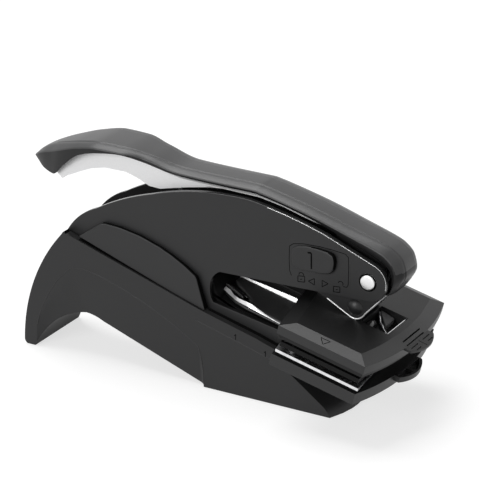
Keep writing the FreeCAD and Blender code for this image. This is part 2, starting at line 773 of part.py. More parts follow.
def lever_stations():
    """Cross-sections of the lever: a channel under the grip, a flat web along the waist and
    two walls round the pivot. Each is the cover's top, the lower edge, half the width of the
    web's flat and of the lever, and the drop of the web's sloping shoulder."""
    half = lever_half.value
    below = cover_wall.value + 0.15
    edge = [
        ((-62.0, 77.2), (-61.6, 65.0), 3.2, half - 1.0, 1.1),
        ((-57.0, 78.6), (-56.6, 67.0), 3.6, half - 0.4, 1.1),
        ((-46.0, 80.5), (-46.0, 70.6), 4.0, half, 1.1),
        ((-37.0, 80.3), (-37.2, 70.6), 4.0, half, 1.1),
        ((-27.0, 78.4), (-27.6, 67.2), 4.0, half, 1.1),
        ((-14.6, 75.9), (-15.0, 64.6), 3.9, half, 1.1),
        ((-6.0, 75.6), (-6.2, 66.6), 3.9, half, 1.1),
        ((1.5, 75.4), (1.5, 71.7), 3.9, half, 1.1),
        ((16.0, 75.2), (16.0, 71.4), 3.9, half, 1.1),
        ((34.0, 71.1), (33.6, 67.4), 3.9, half, 1.1),
        ((46.0, 67.7), (45.2, 64.0), 3.7, half, 1.3),
        ((51.0, 66.1), (50.2, 51.5), 3.5, half, 1.9),
        ((58.0, 63.7), (57.0, 45.6), 3.5, half, 2.2),
        ((64.4, 59.6), (64.2, 48.4), 3.5, half, 2.2),
    ]
    stations = []
    for top, low, flat, wide, shoulder in edge:
        stations.append(((top[0], top[1] - below), low, flat, wide, shoulder))
    return stations


def make_lever():
    stations = refined(lever_stations(), 2)
    outer = through(stations)
    inside = inner_stations(stations, lever_wall.value, lever_wall.value)
    first_top, first_low, *rest = inside[0]
    inside.insert(0, ((first_top[0] - 3, first_top[1]), (first_low[0] - 3, first_low[1]), *rest))
    hollow = through(inside)
    channel = outer.cut(hollow)
    bore = Part.makeCylinder(bush_radius.value, 4 * lever_half.value,
                             Vector(pivot_x.value, -2 * lever_half.value, pivot_z.value),
                             Vector(0, 1, 0))
    channel = channel.cut(bore)
    for x, z in cover_screw_places():
        hole = Part.makeCylinder(1.3, 8.0, Vector(x, 0, z - 5), Vector(0, 0, 1))
        channel = channel.cut(hole)
    lever = doc.addObject("Part::Feature", "lever_arm")
    lever.Label = "lever_arm"
    lever.Shape = channel
    return lever


def cover_screw_places():
    """Where the cover's two screws enter its top from below."""
    return [(-42.0, 78.3), (8.0, 73.0)]


def make_cover_screws():
    """Pan-head screws that hold the cover to the lever's web."""
    screws = []
    for x, z in cover_screw_places():
        web = z - lever_wall.value - 0.4
        shank = Part.makeCylinder(1.15, z + 1.2 - web, Vector(x, 0, web), Vector(0, 0, 1))
        head = Part.makeCylinder(2.4, 1.4, Vector(x, 0, web - 1.4), Vector(0, 0, 1))
        screws.append(shank.fuse(head).removeSplitter())
    feature = doc.addObject("Part::Feature", "cover_screws")
    feature.Label = "cover_screws"
    feature.Shape = Part.makeCompound(screws)
    return feature


def make_bush():
    body = new_body("pivot_bushing")
    sketch = sketch_on(body, "XZ_Plane")
    circle(sketch, pivot_x, pivot_z, bush_radius)
    circle(sketch, pivot_x, pivot_z, pivot_radius + play)
    pad(sketch, 2 * (frame_inner - gap / 2), both_ways=True)
    return body


def make_return_spring():
    """The coil that stands in the core's well and lifts the lever."""
    turns = 6
    height = spring_top.value - spring_seat.value - 2 * spring_wire.value
    feature = doc.addObject("Part::Feature", "return_spring")
    feature.Label = "return_spring"
    feature.Shape = coil(spring_x.value, 0, spring_seat.value + spring_wire.value, 3.2,
                         spring_wire.value, turns, height / turns)
    return feature


def make_cam():
    """The cam between the lever's walls, whose round lobe bears on the press roller, and the
    spine that stiffens the lever's flat web."""
    body = new_body("press_cam")
    sketch = sketch_on(body, "XZ_Plane")
    centre_x = pivot_x - cam_back
    centre_z = pivot_z + cam_rise
    reach_x = press_x - centre_x
    reach_z = centre_z - press_z
    reach = math.hypot(reach_x.value, reach_z.value)
    lobe = reach - roller_radius.value - 0.12
    low = math.radians(200)
    high = math.radians(300)
    start = (centre_x + lobe * math.cos(low), centre_z + lobe * math.sin(low))
    end = (centre_x + lobe * math.cos(high), centre_z + lobe * math.sin(high))
    outline(
        sketch,
        start,
        (*end, lobe),
        (pivot_x + 3.0, pivot_z - 5.5),
        (pivot_x + 5.8, pivot_z - 2.0),
        (pivot_x + 5.8, pivot_z + 2.0),
        (pivot_x + 2.5, pivot_z + 5.6),
        (47.0, 62.2),
        (34.0, 66.4),
        (16.0, 70.6),
        (16.0, 66.0),
        (33.0, 60.5),
        (centre_x - 6, centre_z + 4.5),
    )
    circle(sketch, pivot_x, pivot_z, bush_radius)
    pad(sketch, 2 * (lever_half - lever_wall - 1.4), both_ways=True)
    return body


def coil(x, y, z, radius, wire, turns, pitch):
    """A closed solid of six-sided wire wound about an upright axis in straight stretches."""
    stretches = 10
    sections = []
    for step in range(turns * stretches + 1):
        turned = FreeCAD.Rotation(Vector(0, 0, 1), 360.0 * step / stretches)
        corners = []
        for index in range(6):
            angle = math.radians(60 * index)
            point = Vector(radius + wire * math.cos(angle), 0, wire * math.sin(angle))
            corners.append(turned.multVec(point) + Vector(x, y, z + pitch * step / stretches))
        sections.append(Part.makePolygon(corners + [corners[0]]))
    return Part.makeLoft(sections, True, True)


# ---------------------------------------------------------------- press arm

def make_press_arm():
    body = new_body("press_arm")
    side = sketch_on(body, "XZ_Plane")
    arm_side(side, size(0))
    pad(side, 2 * arm_half, both_ways=True)
    doc.recompute()
    inner = sketch_on(body, "XZ_Plane")
    arm_side(inner, arm_wall)
    pocket(inner, 2 * (arm_half - arm_wall), both_ways=True)
    well = sketch_on(body, "XZ_Plane")
    circle(well, press_x, press_z, roller_radius + 0.2)
    pocket(well, 2 * (lever_half - lever_wall + 0.2), both_ways=True)
    bores = sketch_on(body, "XZ_Plane")
    circle(bores, arm_pivot_x, arm_pivot_z, arm_pin_radius + play)
    circle(bores, press_x, press_z, press_pin_radius)
    pocket(bores, 4 * arm_half, both_ways=True)
    return body


def arm_side(sketch, inset):
    """Side view of the press arm; with an inset, of the channel between its two flanges."""
    inner = inset.value > 0
    radius = foot_radius - inset
    lift = 6.0 if inner else 0.0
    low_x = press_x - radius * 0.48
    low_z = press_z - radius * 0.877
    front_x = press_x + radius * 0.9
    front_z = press_z - radius * 0.436
    rear = arm_pivot_x - 4.6 - (3.0 if inner else 0.0)
    return outline(
        sketch,
        (rear, arm_pivot_z + lift),
        (rear, arm_pivot_z - 2.0),
        (arm_pivot_x, throat_z + 0.7 + inset, 5.5),
        (36.0, throat_z + 0.9 + inset),
        (low_x, low_z),
        (front_x, front_z, radius),
        (pivot_x + 5.9 - inset, pivot_z - 4.2),
        (pivot_x + 4.6 - inset, pivot_z - 3.9 + lift),
        (pivot_x + 1.2, pivot_z - 5.1 + lift),
        (pivot_x - 3.6, pivot_z - 4.9 + lift),
        (46.0, 48.3 + lift),
        (30.0, 50.0 + lift),
        (arm_pivot_x + 1, arm_pivot_z + 4.6 + lift),
    )


def make_press_pin():
    """The pin across the press arm, with a domed head on each side."""
    shank = Part.makeCylinder(press_pin_radius.value, 2 * arm_half.value,
                              Vector(0, -arm_half.value, 0), Vector(0, 1, 0))
    head_radius = 2.95
    dome = 1.3
    ball_radius = (head_radius ** 2 + dome ** 2) / (2 * dome)
    solid = shank
    for side in (-1, 1):
        centre = Vector(0, side * (arm_half.value + dome - ball_radius), 0)
        ball = Part.makeSphere(ball_radius, centre)
        keep = Part.makeBox(12, dome, 12)
        keep.translate(Vector(-6, arm_half.value if side > 0 else -arm_half.value - dome, -6))
        solid = solid.fuse(ball.common(keep))
    feature = doc.addObject("Part::Feature", "press_pin")
    feature.Label = "press_pin"
    feature.Shape = solid.removeSplitter()
    feature.Placement.Base = Vector(press_x.value, 0, press_z.value)
    return feature


def make_roller():
    body = new_body("press_roller")
    sketch = sketch_on(body, "XZ_Plane")
    circle(sketch, press_x, press_z, roller_radius)
    circle(sketch, press_x, press_z, press_pin_radius + play)
    pad(sketch, 2 * (lever_half - lever_wall), both_ways=True)
    spacers = new_body("roller_spacers")
    spacers.AllowCompound = True
    for near in (True, False):
        ring = sketch_on(spacers, "XZ_Plane", (lever_half - lever_wall + 0.1) if near
                         else -(arm_half - arm_wall))
        circle(ring, press_x, press_z, press_pin_radius + 0.7)
        circle(ring, press_x, press_z, press_pin_radius)
        pad(ring, arm_half - arm_wall - lever_half + lever_wall - 0.1)
    return body, spacers


# ---------------------------------------------------------------- die clip

def jaw_outline(sketch, inset, rear_inset=None, front_inset=None):
    """Plan of a jaw or a plate in it: straight sides, bowed front and pointed rear."""
    rear = inset if rear_inset is None else rear_inset
    front = inset if front_inset is None else front_inset
    half = clip_half - inset
    bow = front_bow.value
    arc = (clip_half.value ** 2 + bow ** 2) / (2 * bow)
    return outline(
        sketch,
        (rear, -half),
        (jaw_depth - front, -half),
        (jaw_depth - front, half, arc),
        (rear, half),
        (rear - rear_point, 0.0),
    )


def plate_plan(sketch, inset):
    """Plan of a plate in a jaw: as the jaw, but the front lies back in the middle."""
    half = clip_half - inset
    back = jaw_depth - front_recess
    return outline(
        sketch,
        (inset, -half),
        (jaw_depth - inset, -half),
        (back, size(-14.0)),
        (back, size(14.0)),
        (jaw_depth - inset, half),
        (inset, half),
        (inset - rear_point, 0.0),
    )


def tab_outline(sketch, inset, short=0.0, rear=0.0):
    """Plan of a finger tab with its round front, drawn in by the inset."""
    half = tab_half - inset
    corner = tab_length - tab_bulge - inset - short
    radius = (half * half + tab_bulge * tab_bulge) / (2 * tab_bulge)
    return outline(
        sketch,
        (jaw_depth + rear, -half),
        (corner, -half),
        (corner, half, radius),
        (jaw_depth + rear, half),
    )


def guide_places():
    across = clip_half - guide_inset
    return [(guide_setback, -across), (guide_setback, across)]


def drill(body, lift, depth, radius):
    """Holes for the guide pins, drilled upwards from the height."""
    holes = sketch_on(body, "XY_Plane", lift)
    for along, across in guide_places():
        circle(holes, along, across, radius)
    return pocket(holes, depth, along=True)


def jaw_plate(label, bottom, thick, inset, hole_radius, die=False):
    """A flat plate in a jaw, with holes for the guide pins and, if asked, for its die."""
    body = new_body(label)
    sketch = sketch_on(body, "XY_Plane", bottom)
    plate_plan(sketch, size(inset))
    if die:
        circle(sketch, die_centre, 0.0, die_radius + 0.1)
    pad(sketch, thick)
    doc.recompute()
    drill(body, bottom - 1, thick + 2, hole_radius)
    place_in_clip(body)
    return body


def die_disc(label, bottom, thick):
    body = new_body(label)
    sketch = sketch_on(body, "XY_Plane", bottom)
    circle(sketch, die_centre, 0.0, die_radius)
    pad(sketch, thick)
    place_in_clip(body)
    return body


def make_upper_jaw():
    body = new_body("upper_jaw")
    side = sketch_on(body, "XY_Plane", upper_bottom)
    jaw_outline(side, size(0))
    pad(side, upper_thick)
    foot = sketch_on(body, "XY_Plane")
    jaw_outline(foot, size(0))
    crown = sketch_on(body, "XY_Plane", crown_rise)
    jaw_outline(crown, crown_inset, crown_inset + 0.6, crown_inset)
    loft(foot, [crown])
    tab = sketch_on(body, "XY_Plane", size(-0.9))
    tab_outline(tab, size(0))
    pad(tab, 0.9)
    doc.recompute()
    window = sketch_on(body, "XY_Plane", size(-3.0))
    rectangle(window, size(19.5), size(29.9), size(-7.5), size(7.5))
    pocket(window, 3.0 + 2 * crown_rise, along=True)
    drill(body, upper_bottom - 1, upper_thick, guide_radius + play)
    grooves = sketch_on(body, "XY_Plane", size(-0.4))
    rectangle(grooves, size(35.0), size(35.5), size(-6.6), size(6.2))
    rectangle(grooves, size(36.8), size(37.3), size(-6.8), size(6.0))
    for low, high in ((-7.0, -2.0), (1.6, 6.6)):
        rectangle(grooves, size(38.7), size(39.1), size(low), size(high))
        rectangle(grooves, size(40.4), size(40.8), size(low + 0.8), size(high - 0.8))
    rectangle(grooves, size(38.2), size(41.4), size(-0.4), size(0.0))
    pocket(grooves, 3.0, along=True)
    place_in_clip(body)
    return body


def make_lower_jaw():
    body = new_body("lower_jaw")
    plan = sketch_on(body, "XY_Plane", lower_bottom)
    jaw_outline(plan, size(0), size(0), size(1.0))
    pad(plan, lower_thick)
    tab = sketch_on(body, "XY_Plane", lower_top - 2.1)
    tab_outline(tab, size(0), 1.4)
    pad(tab, 2.1)
    doc.recompute()
    scoop = sketch_on(body, "XY_Plane", lower_top - 1.3)
    tab_outline(scoop, size(0.9), 1.4, 3.8)
    pocket(scoop, 4.0, along=True)
    web = sketch_on(body, "XY_Plane", lower_top - 1.4)
    rectangle(web, jaw_depth + 3.0, tab_length - 2.0, size(-0.5), size(0.5))
    pad(web, 1.0)
    slot = sketch_on(body, "XY_Plane", lower_top - tongue_thick)
    rectangle(slot, -rear_point - 1, size(2.0), -frame_inner + gap, frame_inner - gap)
    pocket(slot, 4.0, along=True)
    drill(body, lower_bottom + 1, lower_thick, guide_radius)
    place_in_clip(body)
    return body


def make_guides():
    body = new_body("guide_pins")
    body.AllowCompound = True
    sketch = sketch_on(body, "XY_Plane", lower_bottom + 1)
    for along, across in guide_places():
        circle(sketch, along, across, guide_radius)
    feature = pad(sketch, -lower_bottom - 1 - 2.6)
    feature.AllowMultiFace = True
    place_in_clip(body)
    return body


def make_jaw_springs():
    """Two short coil springs round the guide pins hold the jaws apart."""
    low = lower_plates.value + 0.45
    rise = upper_bottom.value - lower_plates.value - 0.9
    turns = 3
    coils = []
    for along, across in guide_places():
        coils.append(coil(along.value, across.value, low, 2.3, 0.4, turns, rise / turns))
    feature = doc.addObject("Part::Feature", "jaw_springs")
    feature.Label = "jaw_springs"
    feature.Shape = Part.makeCompound(coils)
    feature.Placement = FreeCAD.Placement(
        Vector(clip_x.value, 0, clip_z.value),
        FreeCAD.Rotation(Vector(0, 1, 0), clip_tilt.value))
    return feature


def make_tongue():
    """The spring-steel tongue that guides the clip between the plates, and its cover strip."""
    body = new_body("clip_tongue")
    side = sketch_on(body, "XZ_Plane")
    floor = lower_top - tongue_thick
    outline(
        side,
        (2.0, floor),
        (2.0, lower_top),
        (-tongue_length, lower_top),
        (-tongue_length, floor),
    )
    pad(side, 2 * (frame_inner - gap), both_ways=True)
    for lift in (frame_inner - gap - 1.0, -frame_inner + gap):
        lip = sketch_on(body, "XZ_Plane", lift)
        outline(
            lip,
            (-rear_point - 0.8, lower_top),
            (-rear_point - 0.8, lower_top + lip_height),
            (-tongue_length + 3.0, lower_top + lip_height),
            (-tongue_length, lower_top),
        )
        pad(lip, 1.0)
    place_in_clip(body)

    strip = new_body("tongue_strip")
    plan = sketch_on(strip, "XY_Plane", lower_top)
    outline(
        plan,
        (-rear_point - 0.4, size(0.0)),
        (-rear_point + 0.9, size(7.0)),
        (-tongue_length + 3.0, size(7.0)),
        (-tongue_length + 4.0, size(1.5), 14.0),
        (-tongue_length + 12.0, size(-7.0), 40.0),
        (-rear_point + 0.9, size(-7.0)),
    )
    pad(plan, 1.0)
    place_in_clip(strip)
    return body, strip


def make_window_parts():
    """What shows in the upper jaw's window: a roller, a sloping wedge and a bright strip."""
    roller = new_body("window_roller")
    axis = sketch_on(roller, "XZ_Plane")
    circle(axis, size(21.6), size(-1.2), size(1.75))
    pad(axis, 14.8, both_ways=True)
    place_in_clip(roller)

    wedge = new_body("window_wedge")
    plan = sketch_on(wedge, "XZ_Plane", size(-6.8))
    outline(plan, (size(23.6), size(-3.0)), (size(27.4), size(-3.0)), (size(23.6), size(-0.2)))
    pad(plan, 8.8)
    place_in_clip(wedge)

    strip = new_body("window_strip")
    side = sketch_on(strip, "XZ_Plane")
    outline(side, (size(28.2), size(-3.0)), (size(28.9), size(-3.0)),
            (size(29.6), size(0.6)), (size(28.9), size(0.6)))
    pad(side, 13.6, both_ways=True)
    place_in_clip(strip)
    return roller, wedge, strip


# ---------------------------------------------------------------- fasteners and feet

def make_feet():
    body = new_body("rubber_feet")
    body.AllowCompound = True
    sketch = sketch_on(body, "XY_Plane")
    for low, high in ((-12.0, -8.0), (8.0, 12.0)):
        rectangle(sketch, size(3.0), size(42.0), size(low), size(high))
    feature = pad(sketch, 1.2)
    feature.AllowMultiFace = True
    return body


def recess_base(body):
    """Recesses in the sole for the feet and the screws."""
    for lift, depth in ((size(1.2), size(3.0)),):
        sketch = sketch_on(body, "XY_Plane", lift)
        for low, high in ((-12.0, -8.0), (8.0, 12.0)):
            rectangle(sketch, size(3.0), size(42.0), size(low), size(high))
        pocket(sketch, depth)
    heads = sketch_on(body, "XY_Plane", size(3.0))
    for x in (8.0, 30.0):
        circle(heads, size(x), size(0), size(3.2))
    pocket(heads, 5.0)
    shanks = sketch_on(body, "XY_Plane", size(2.0))
    for x in (8.0, 30.0):
        circle(shanks, size(x), size(0), size(1.6))
    pocket(shanks, 30.0, along=True)


def make_base_screws():
    screws = []
    for x, top in ((8.0, 25.5), (30.0, 19.0)):
        head = Part.makeCylinder(3.0, 1.8, Vector(x, 0, 1.2), Vector(0, 0, 1))
        shank = Part.makeCylinder(1.5, top - 2, Vector(x, 0, 2.0), Vector(0, 0, 1))
        screws.append(head.fuse(shank).removeSplitter())
    feature = doc.addObject("Part::Feature", "base_screws")
    feature.Label = "base_screws"
    feature.Shape = Part.makeCompound(screws)
    return feature


# ---------------------------------------------------------------- the whole machine

base = make_base()
recess_base(base)
nodes = [
    base,
    make_plate("left_frame_plate", True),
    make_plate("right_frame_plate", False),
    make_core(),
    make_rivets(),
    make_side_panel("left_side_panel", True),
    make_side_panel("right_side_panel", False),
    make_anvil(),
    make_feet(),
    make_base_screws(),
    pin("pivot_pin", pivot_x, pivot_z, pivot_radius, frame_outer + 0.4),
    pin("arm_pivot_pin", arm_pivot_x, arm_pivot_z, arm_pin_radius, frame_inner + plate_thick / 2),
    *make_lock(),
    make_lever(),
    make_cover(),
    make_cover_screws(),
    make_return_spring(),
    make_bush(),
    make_cam(),
    make_press_arm(),
    make_press_pin(),
    *make_roller(),
    make_lower_jaw(),
    jaw_plate("lower_pad", lower_top, pad_thick, 1.3, guide_radius, die=True),
    jaw_plate("lower_die_plate", lower_top + pad_thick, anvil_die_thick, 0.7, guide_radius, die=True),
    die_disc("counter_die", lower_top, pad_thick + anvil_die_thick),
    make_upper_jaw(),
    jaw_plate("upper_backing_plate", upper_bottom - backing_thick, backing_thick, 0.8, 3.0),
    jaw_plate("upper_die_plate", upper_plates, die_thick, plate_inset, 3.0, die=True),
    die_disc("male_die", upper_plates, die_thick),
    make_guides(),
    make_jaw_springs(),
    *make_tongue(),
    *make_window_parts(),
]

doc.recompute()
for item in doc.Objects:
    if "Invalid" in item.State or "Error" in item.State:
        raise RuntimeError(f"{item.Label} failed: {item.State}")
for node in nodes:
    shape = node.Shape
    if shape.isNull() or not shape.isValid():
        raise RuntimeError(f"{node.Label} has no valid shape")
    shape.exportStep(f"parts/{node.Label}.step")
    box = shape.BoundBox
    print(f"{node.Label}: {len(shape.Solids)} solids, {shape.Volume:.1f} mm3,"
          f" X {box.XMin:.1f}..{box.XMax:.1f} Y {box.YMin:.1f}..{box.YMax:.1f}"
          f" Z {box.ZMin:.1f}..{box.ZMax:.1f}")
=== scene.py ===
import json
import math

import bmesh
import bpy
import numpy as np
from mathutils import Matrix, Vector

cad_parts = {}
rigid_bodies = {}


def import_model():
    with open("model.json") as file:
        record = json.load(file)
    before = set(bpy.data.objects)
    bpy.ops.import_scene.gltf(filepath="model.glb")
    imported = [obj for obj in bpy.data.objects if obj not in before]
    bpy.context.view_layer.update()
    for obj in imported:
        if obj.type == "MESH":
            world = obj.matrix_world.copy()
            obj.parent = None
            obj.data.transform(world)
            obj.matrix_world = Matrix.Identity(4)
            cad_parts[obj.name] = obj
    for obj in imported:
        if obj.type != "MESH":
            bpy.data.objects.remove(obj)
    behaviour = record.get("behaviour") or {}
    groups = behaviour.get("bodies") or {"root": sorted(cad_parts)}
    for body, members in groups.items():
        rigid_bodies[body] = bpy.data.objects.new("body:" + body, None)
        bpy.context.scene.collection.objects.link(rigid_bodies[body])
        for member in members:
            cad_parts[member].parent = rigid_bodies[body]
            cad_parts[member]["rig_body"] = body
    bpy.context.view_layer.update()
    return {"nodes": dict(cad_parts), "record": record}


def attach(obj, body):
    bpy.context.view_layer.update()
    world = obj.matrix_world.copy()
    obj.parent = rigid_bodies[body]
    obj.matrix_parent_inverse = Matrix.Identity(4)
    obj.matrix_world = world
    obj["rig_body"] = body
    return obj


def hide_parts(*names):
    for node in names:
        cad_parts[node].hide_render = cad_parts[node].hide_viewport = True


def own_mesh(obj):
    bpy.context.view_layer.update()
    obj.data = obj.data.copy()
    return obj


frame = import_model()

# Lengths and places below are in millimetres in the machine's frame; MM turns them into metres.
MM = 0.001
MERGE = 0.002 * MM
SLOTS = {part["node"]: part["material_slot"] for part in frame["record"]["subparts"]}
SIDES = (("left", -1.0), ("right", 1.0))


# ---------------------------------------------------------------- camera, light and table

AZIMUTH = math.radians(29.698)
ELEVATION = math.radians(22.238)
DISTANCE = 879.68 * MM
LIFT = 47.656 * MM
FORWARD = 5.0 * MM
FOCAL_LENGTH = 187.5
FILM_WIDTH = 36.0

STUDIO_LIGHT = 0.26
AIM = (0, 0, 0.04)
TABLE_HALF = 3.0
TABLE_DROP = 0.2 * MM
TABLE_GREY = 0.42
TABLE_GLOW = 0.68


def set_camera():
    """A long lens on a line through the machine, AZIMUTH round from its side and ELEVATION up."""
    back = Vector((math.sin(AZIMUTH) * math.cos(ELEVATION),
                   -math.cos(AZIMUTH) * math.cos(ELEVATION), math.sin(ELEVATION)))
    up = Vector((-math.sin(AZIMUTH) * math.sin(ELEVATION),
                 math.cos(AZIMUTH) * math.sin(ELEVATION), math.cos(ELEVATION)))
    right = Vector((math.cos(AZIMUTH), math.sin(AZIMUTH), 0))
    lens = bpy.data.cameras.new("camera")
    lens.lens = FOCAL_LENGTH
    lens.sensor_width = FILM_WIDTH
    lens.clip_start = 0.01
    lens.clip_end = 20
    camera = bpy.data.objects.new("camera", lens)
    bpy.context.scene.collection.objects.link(camera)
    place = back * DISTANCE + up * LIFT + Vector((FORWARD, 0, 0))
    camera.matrix_world = Matrix.Translation(place) \
        @ Matrix((right, up, back)).transposed().to_4x4()
    bpy.context.scene.camera = camera
    bpy.context.scene.view_settings.view_transform = "Standard"


def soft_box(name, place, width, height, power):
    """A rectangular studio lamp at a place, aimed at the middle of the machine."""
    light = bpy.data.lights.new(name, "AREA")
    light.shape = "RECTANGLE"
    light.size = width
    light.size_y = height
    light.energy = power
    lamp = bpy.data.objects.new(name, light)
    bpy.context.scene.collection.objects.link(lamp)
    lamp.location = place
    lamp.rotation_mode = "QUATERNION"
    lamp.rotation_quaternion = (Vector(AIM) - Vector(place)).to_track_quat("-Z", "Y")


def node_tree(owner):
    """An empty node tree for a material or the world."""
    owner.use_nodes = True
    owner.node_tree.nodes.clear()
    return owner.node_tree


def backdrop_rays(tree):
    """One where the lens, a mirror or a glass looks at the backdrop, and zero for other light."""
    path = tree.nodes.new("ShaderNodeLightPath")
    bounced = tree.nodes.new("ShaderNodeMath")
    bounced.operation = "MAXIMUM"
    tree.links.new(path.outputs["Is Glossy Ray"], bounced.inputs[0])
    tree.links.new(path.outputs["Is Transmission Ray"], bounced.inputs[1])
    seen = tree.nodes.new("ShaderNodeMath")
    seen.operation = "MAXIMUM"
    tree.links.new(path.outputs["Is Camera Ray"], seen.inputs[0])
    tree.links.new(bounced.outputs[0], seen.inputs[1])
    return seen.outputs[0]


def set_world(strength):
    """A white studio that lights the machine softly from all sides."""
    world = bpy.data.worlds.new("studio")
    bpy.context.scene.world = world
    tree = node_tree(world)
    soft = tree.nodes.new("ShaderNodeBackground")
    soft.inputs["Color"].default_value = (1, 1, 1, 1)
    soft.inputs["Strength"].default_value = strength
    white = tree.nodes.new("ShaderNodeBackground")
    white.inputs["Color"].default_value = (1, 1, 1, 1)
    white.inputs["Strength"].default_value = 1.0
    mix = tree.nodes.new("ShaderNodeMixShader")
    output = tree.nodes.new("ShaderNodeOutputWorld")
    tree.links.new(backdrop_rays(tree), mix.inputs["Fac"])
    tree.links.new(soft.outputs[0], mix.inputs[1])
    tree.links.new(white.outputs[0], mix.inputs[2])
    tree.links.new(mix.outputs[0], output.inputs["Surface"])


def lay_table():
    """A wide table just under the machine: white to the lens, grey to the light it throws back,
    and darker where the machine shades it."""
    half = TABLE_HALF
    mesh = bpy.data.meshes.new("table")
    mesh.from_pydata([(-half, -half, 0), (half, -half, 0), (half, half, 0), (-half, half, 0)],
                     [], [(0, 1, 2, 3)])
    table = bpy.data.objects.new("table", mesh)
    bpy.context.scene.collection.objects.link(table)
    table.location.z = -TABLE_DROP
    white = bpy.data.materials.new("table_white")
    tree = node_tree(white)
    matt = tree.nodes.new("ShaderNodeBsdfDiffuse")
    matt.inputs["Color"].default_value = (TABLE_GREY, TABLE_GREY, TABLE_GREY, 1)
    glow = tree.nodes.new("ShaderNodeEmission")
    glow.inputs["Color"].default_value = (1, 1, 1, 1)
    glow.inputs["Strength"].default_value = TABLE_GLOW
    lit = tree.nodes.new("ShaderNodeAddShader")
    mix = tree.nodes.new("ShaderNodeMixShader")
    output = tree.nodes.new("ShaderNodeOutputMaterial")
    tree.links.new(matt.outputs[0], lit.inputs[0])
    tree.links.new(glow.outputs[0], lit.inputs[1])
    tree.links.new(backdrop_rays(tree), mix.inputs["Fac"])
    tree.links.new(matt.outputs[0], mix.inputs[1])
    tree.links.new(lit.outputs[0], mix.inputs[2])
    tree.links.new(mix.outputs[0], output.inputs["Surface"])
    mesh.materials.append(white)


# ---------------------------------------------------------------- finishes

def finish_of(name, colour, roughness, metal=0.0, grain=0.2, grain_size=2600.0, mottle=0.10,
              cloud_size=90.0, specular=0.5, gloss_spread=0.10):
    """A moulded, painted or plated finish: its colour and gloss drift a little over the surface,
    and a fine grain stands out of it by the given strength."""
    material = bpy.data.materials.new(name)
    tree = node_tree(material)
    shader = tree.nodes.new("ShaderNodeBsdfPrincipled")
    output = tree.nodes.new("ShaderNodeOutputMaterial")
    tree.links.new(shader.outputs[0], output.inputs["Surface"])
    shader.inputs["Metallic"].default_value = metal
    shader.inputs["Specular IOR Level"].default_value = specular
    place = tree.nodes.new("ShaderNodeTexCoord")
    cloud = tree.nodes.new("ShaderNodeTexNoise")
    cloud.inputs["Scale"].default_value = cloud_size
    cloud.inputs["Detail"].default_value = 5.0
    tree.links.new(place.outputs["Object"], cloud.inputs["Vector"])
    tint = tree.nodes.new("ShaderNodeMix")
    tint.data_type = "RGBA"
    tint.inputs["A"].default_value = (*[value * (1 - mottle) for value in colour], 1)
    tint.inputs["B"].default_value = (*[min(value * (1 + mottle), 1.0) for value in colour], 1)
    tree.links.new(cloud.outputs["Fac"], tint.inputs["Factor"])
    tree.links.new(tint.outputs["Result"], shader.inputs["Base Color"])
    gloss = tree.nodes.new("ShaderNodeMapRange")
    gloss.inputs["To Min"].default_value = roughness * (1 - gloss_spread)
    gloss.inputs["To Max"].default_value = min(roughness * (1 + gloss_spread), 1.0)
    tree.links.new(cloud.outputs["Fac"], gloss.inputs["Value"])
    tree.links.new(gloss.outputs["Result"], shader.inputs["Roughness"])
    grit = tree.nodes.new("ShaderNodeTexNoise")
    grit.inputs["Scale"].default_value = grain_size
    grit.inputs["Detail"].default_value = 3.0
    tree.links.new(place.outputs["Object"], grit.inputs["Vector"])
    bump = tree.nodes.new("ShaderNodeBump")
    bump.inputs["Strength"].default_value = grain
    bump.inputs["Distance"].default_value = 0.00005
    tree.links.new(grit.outputs["Fac"], bump.inputs["Height"])
    tree.links.new(bump.outputs["Normal"], shader.inputs["Normal"])
    return material


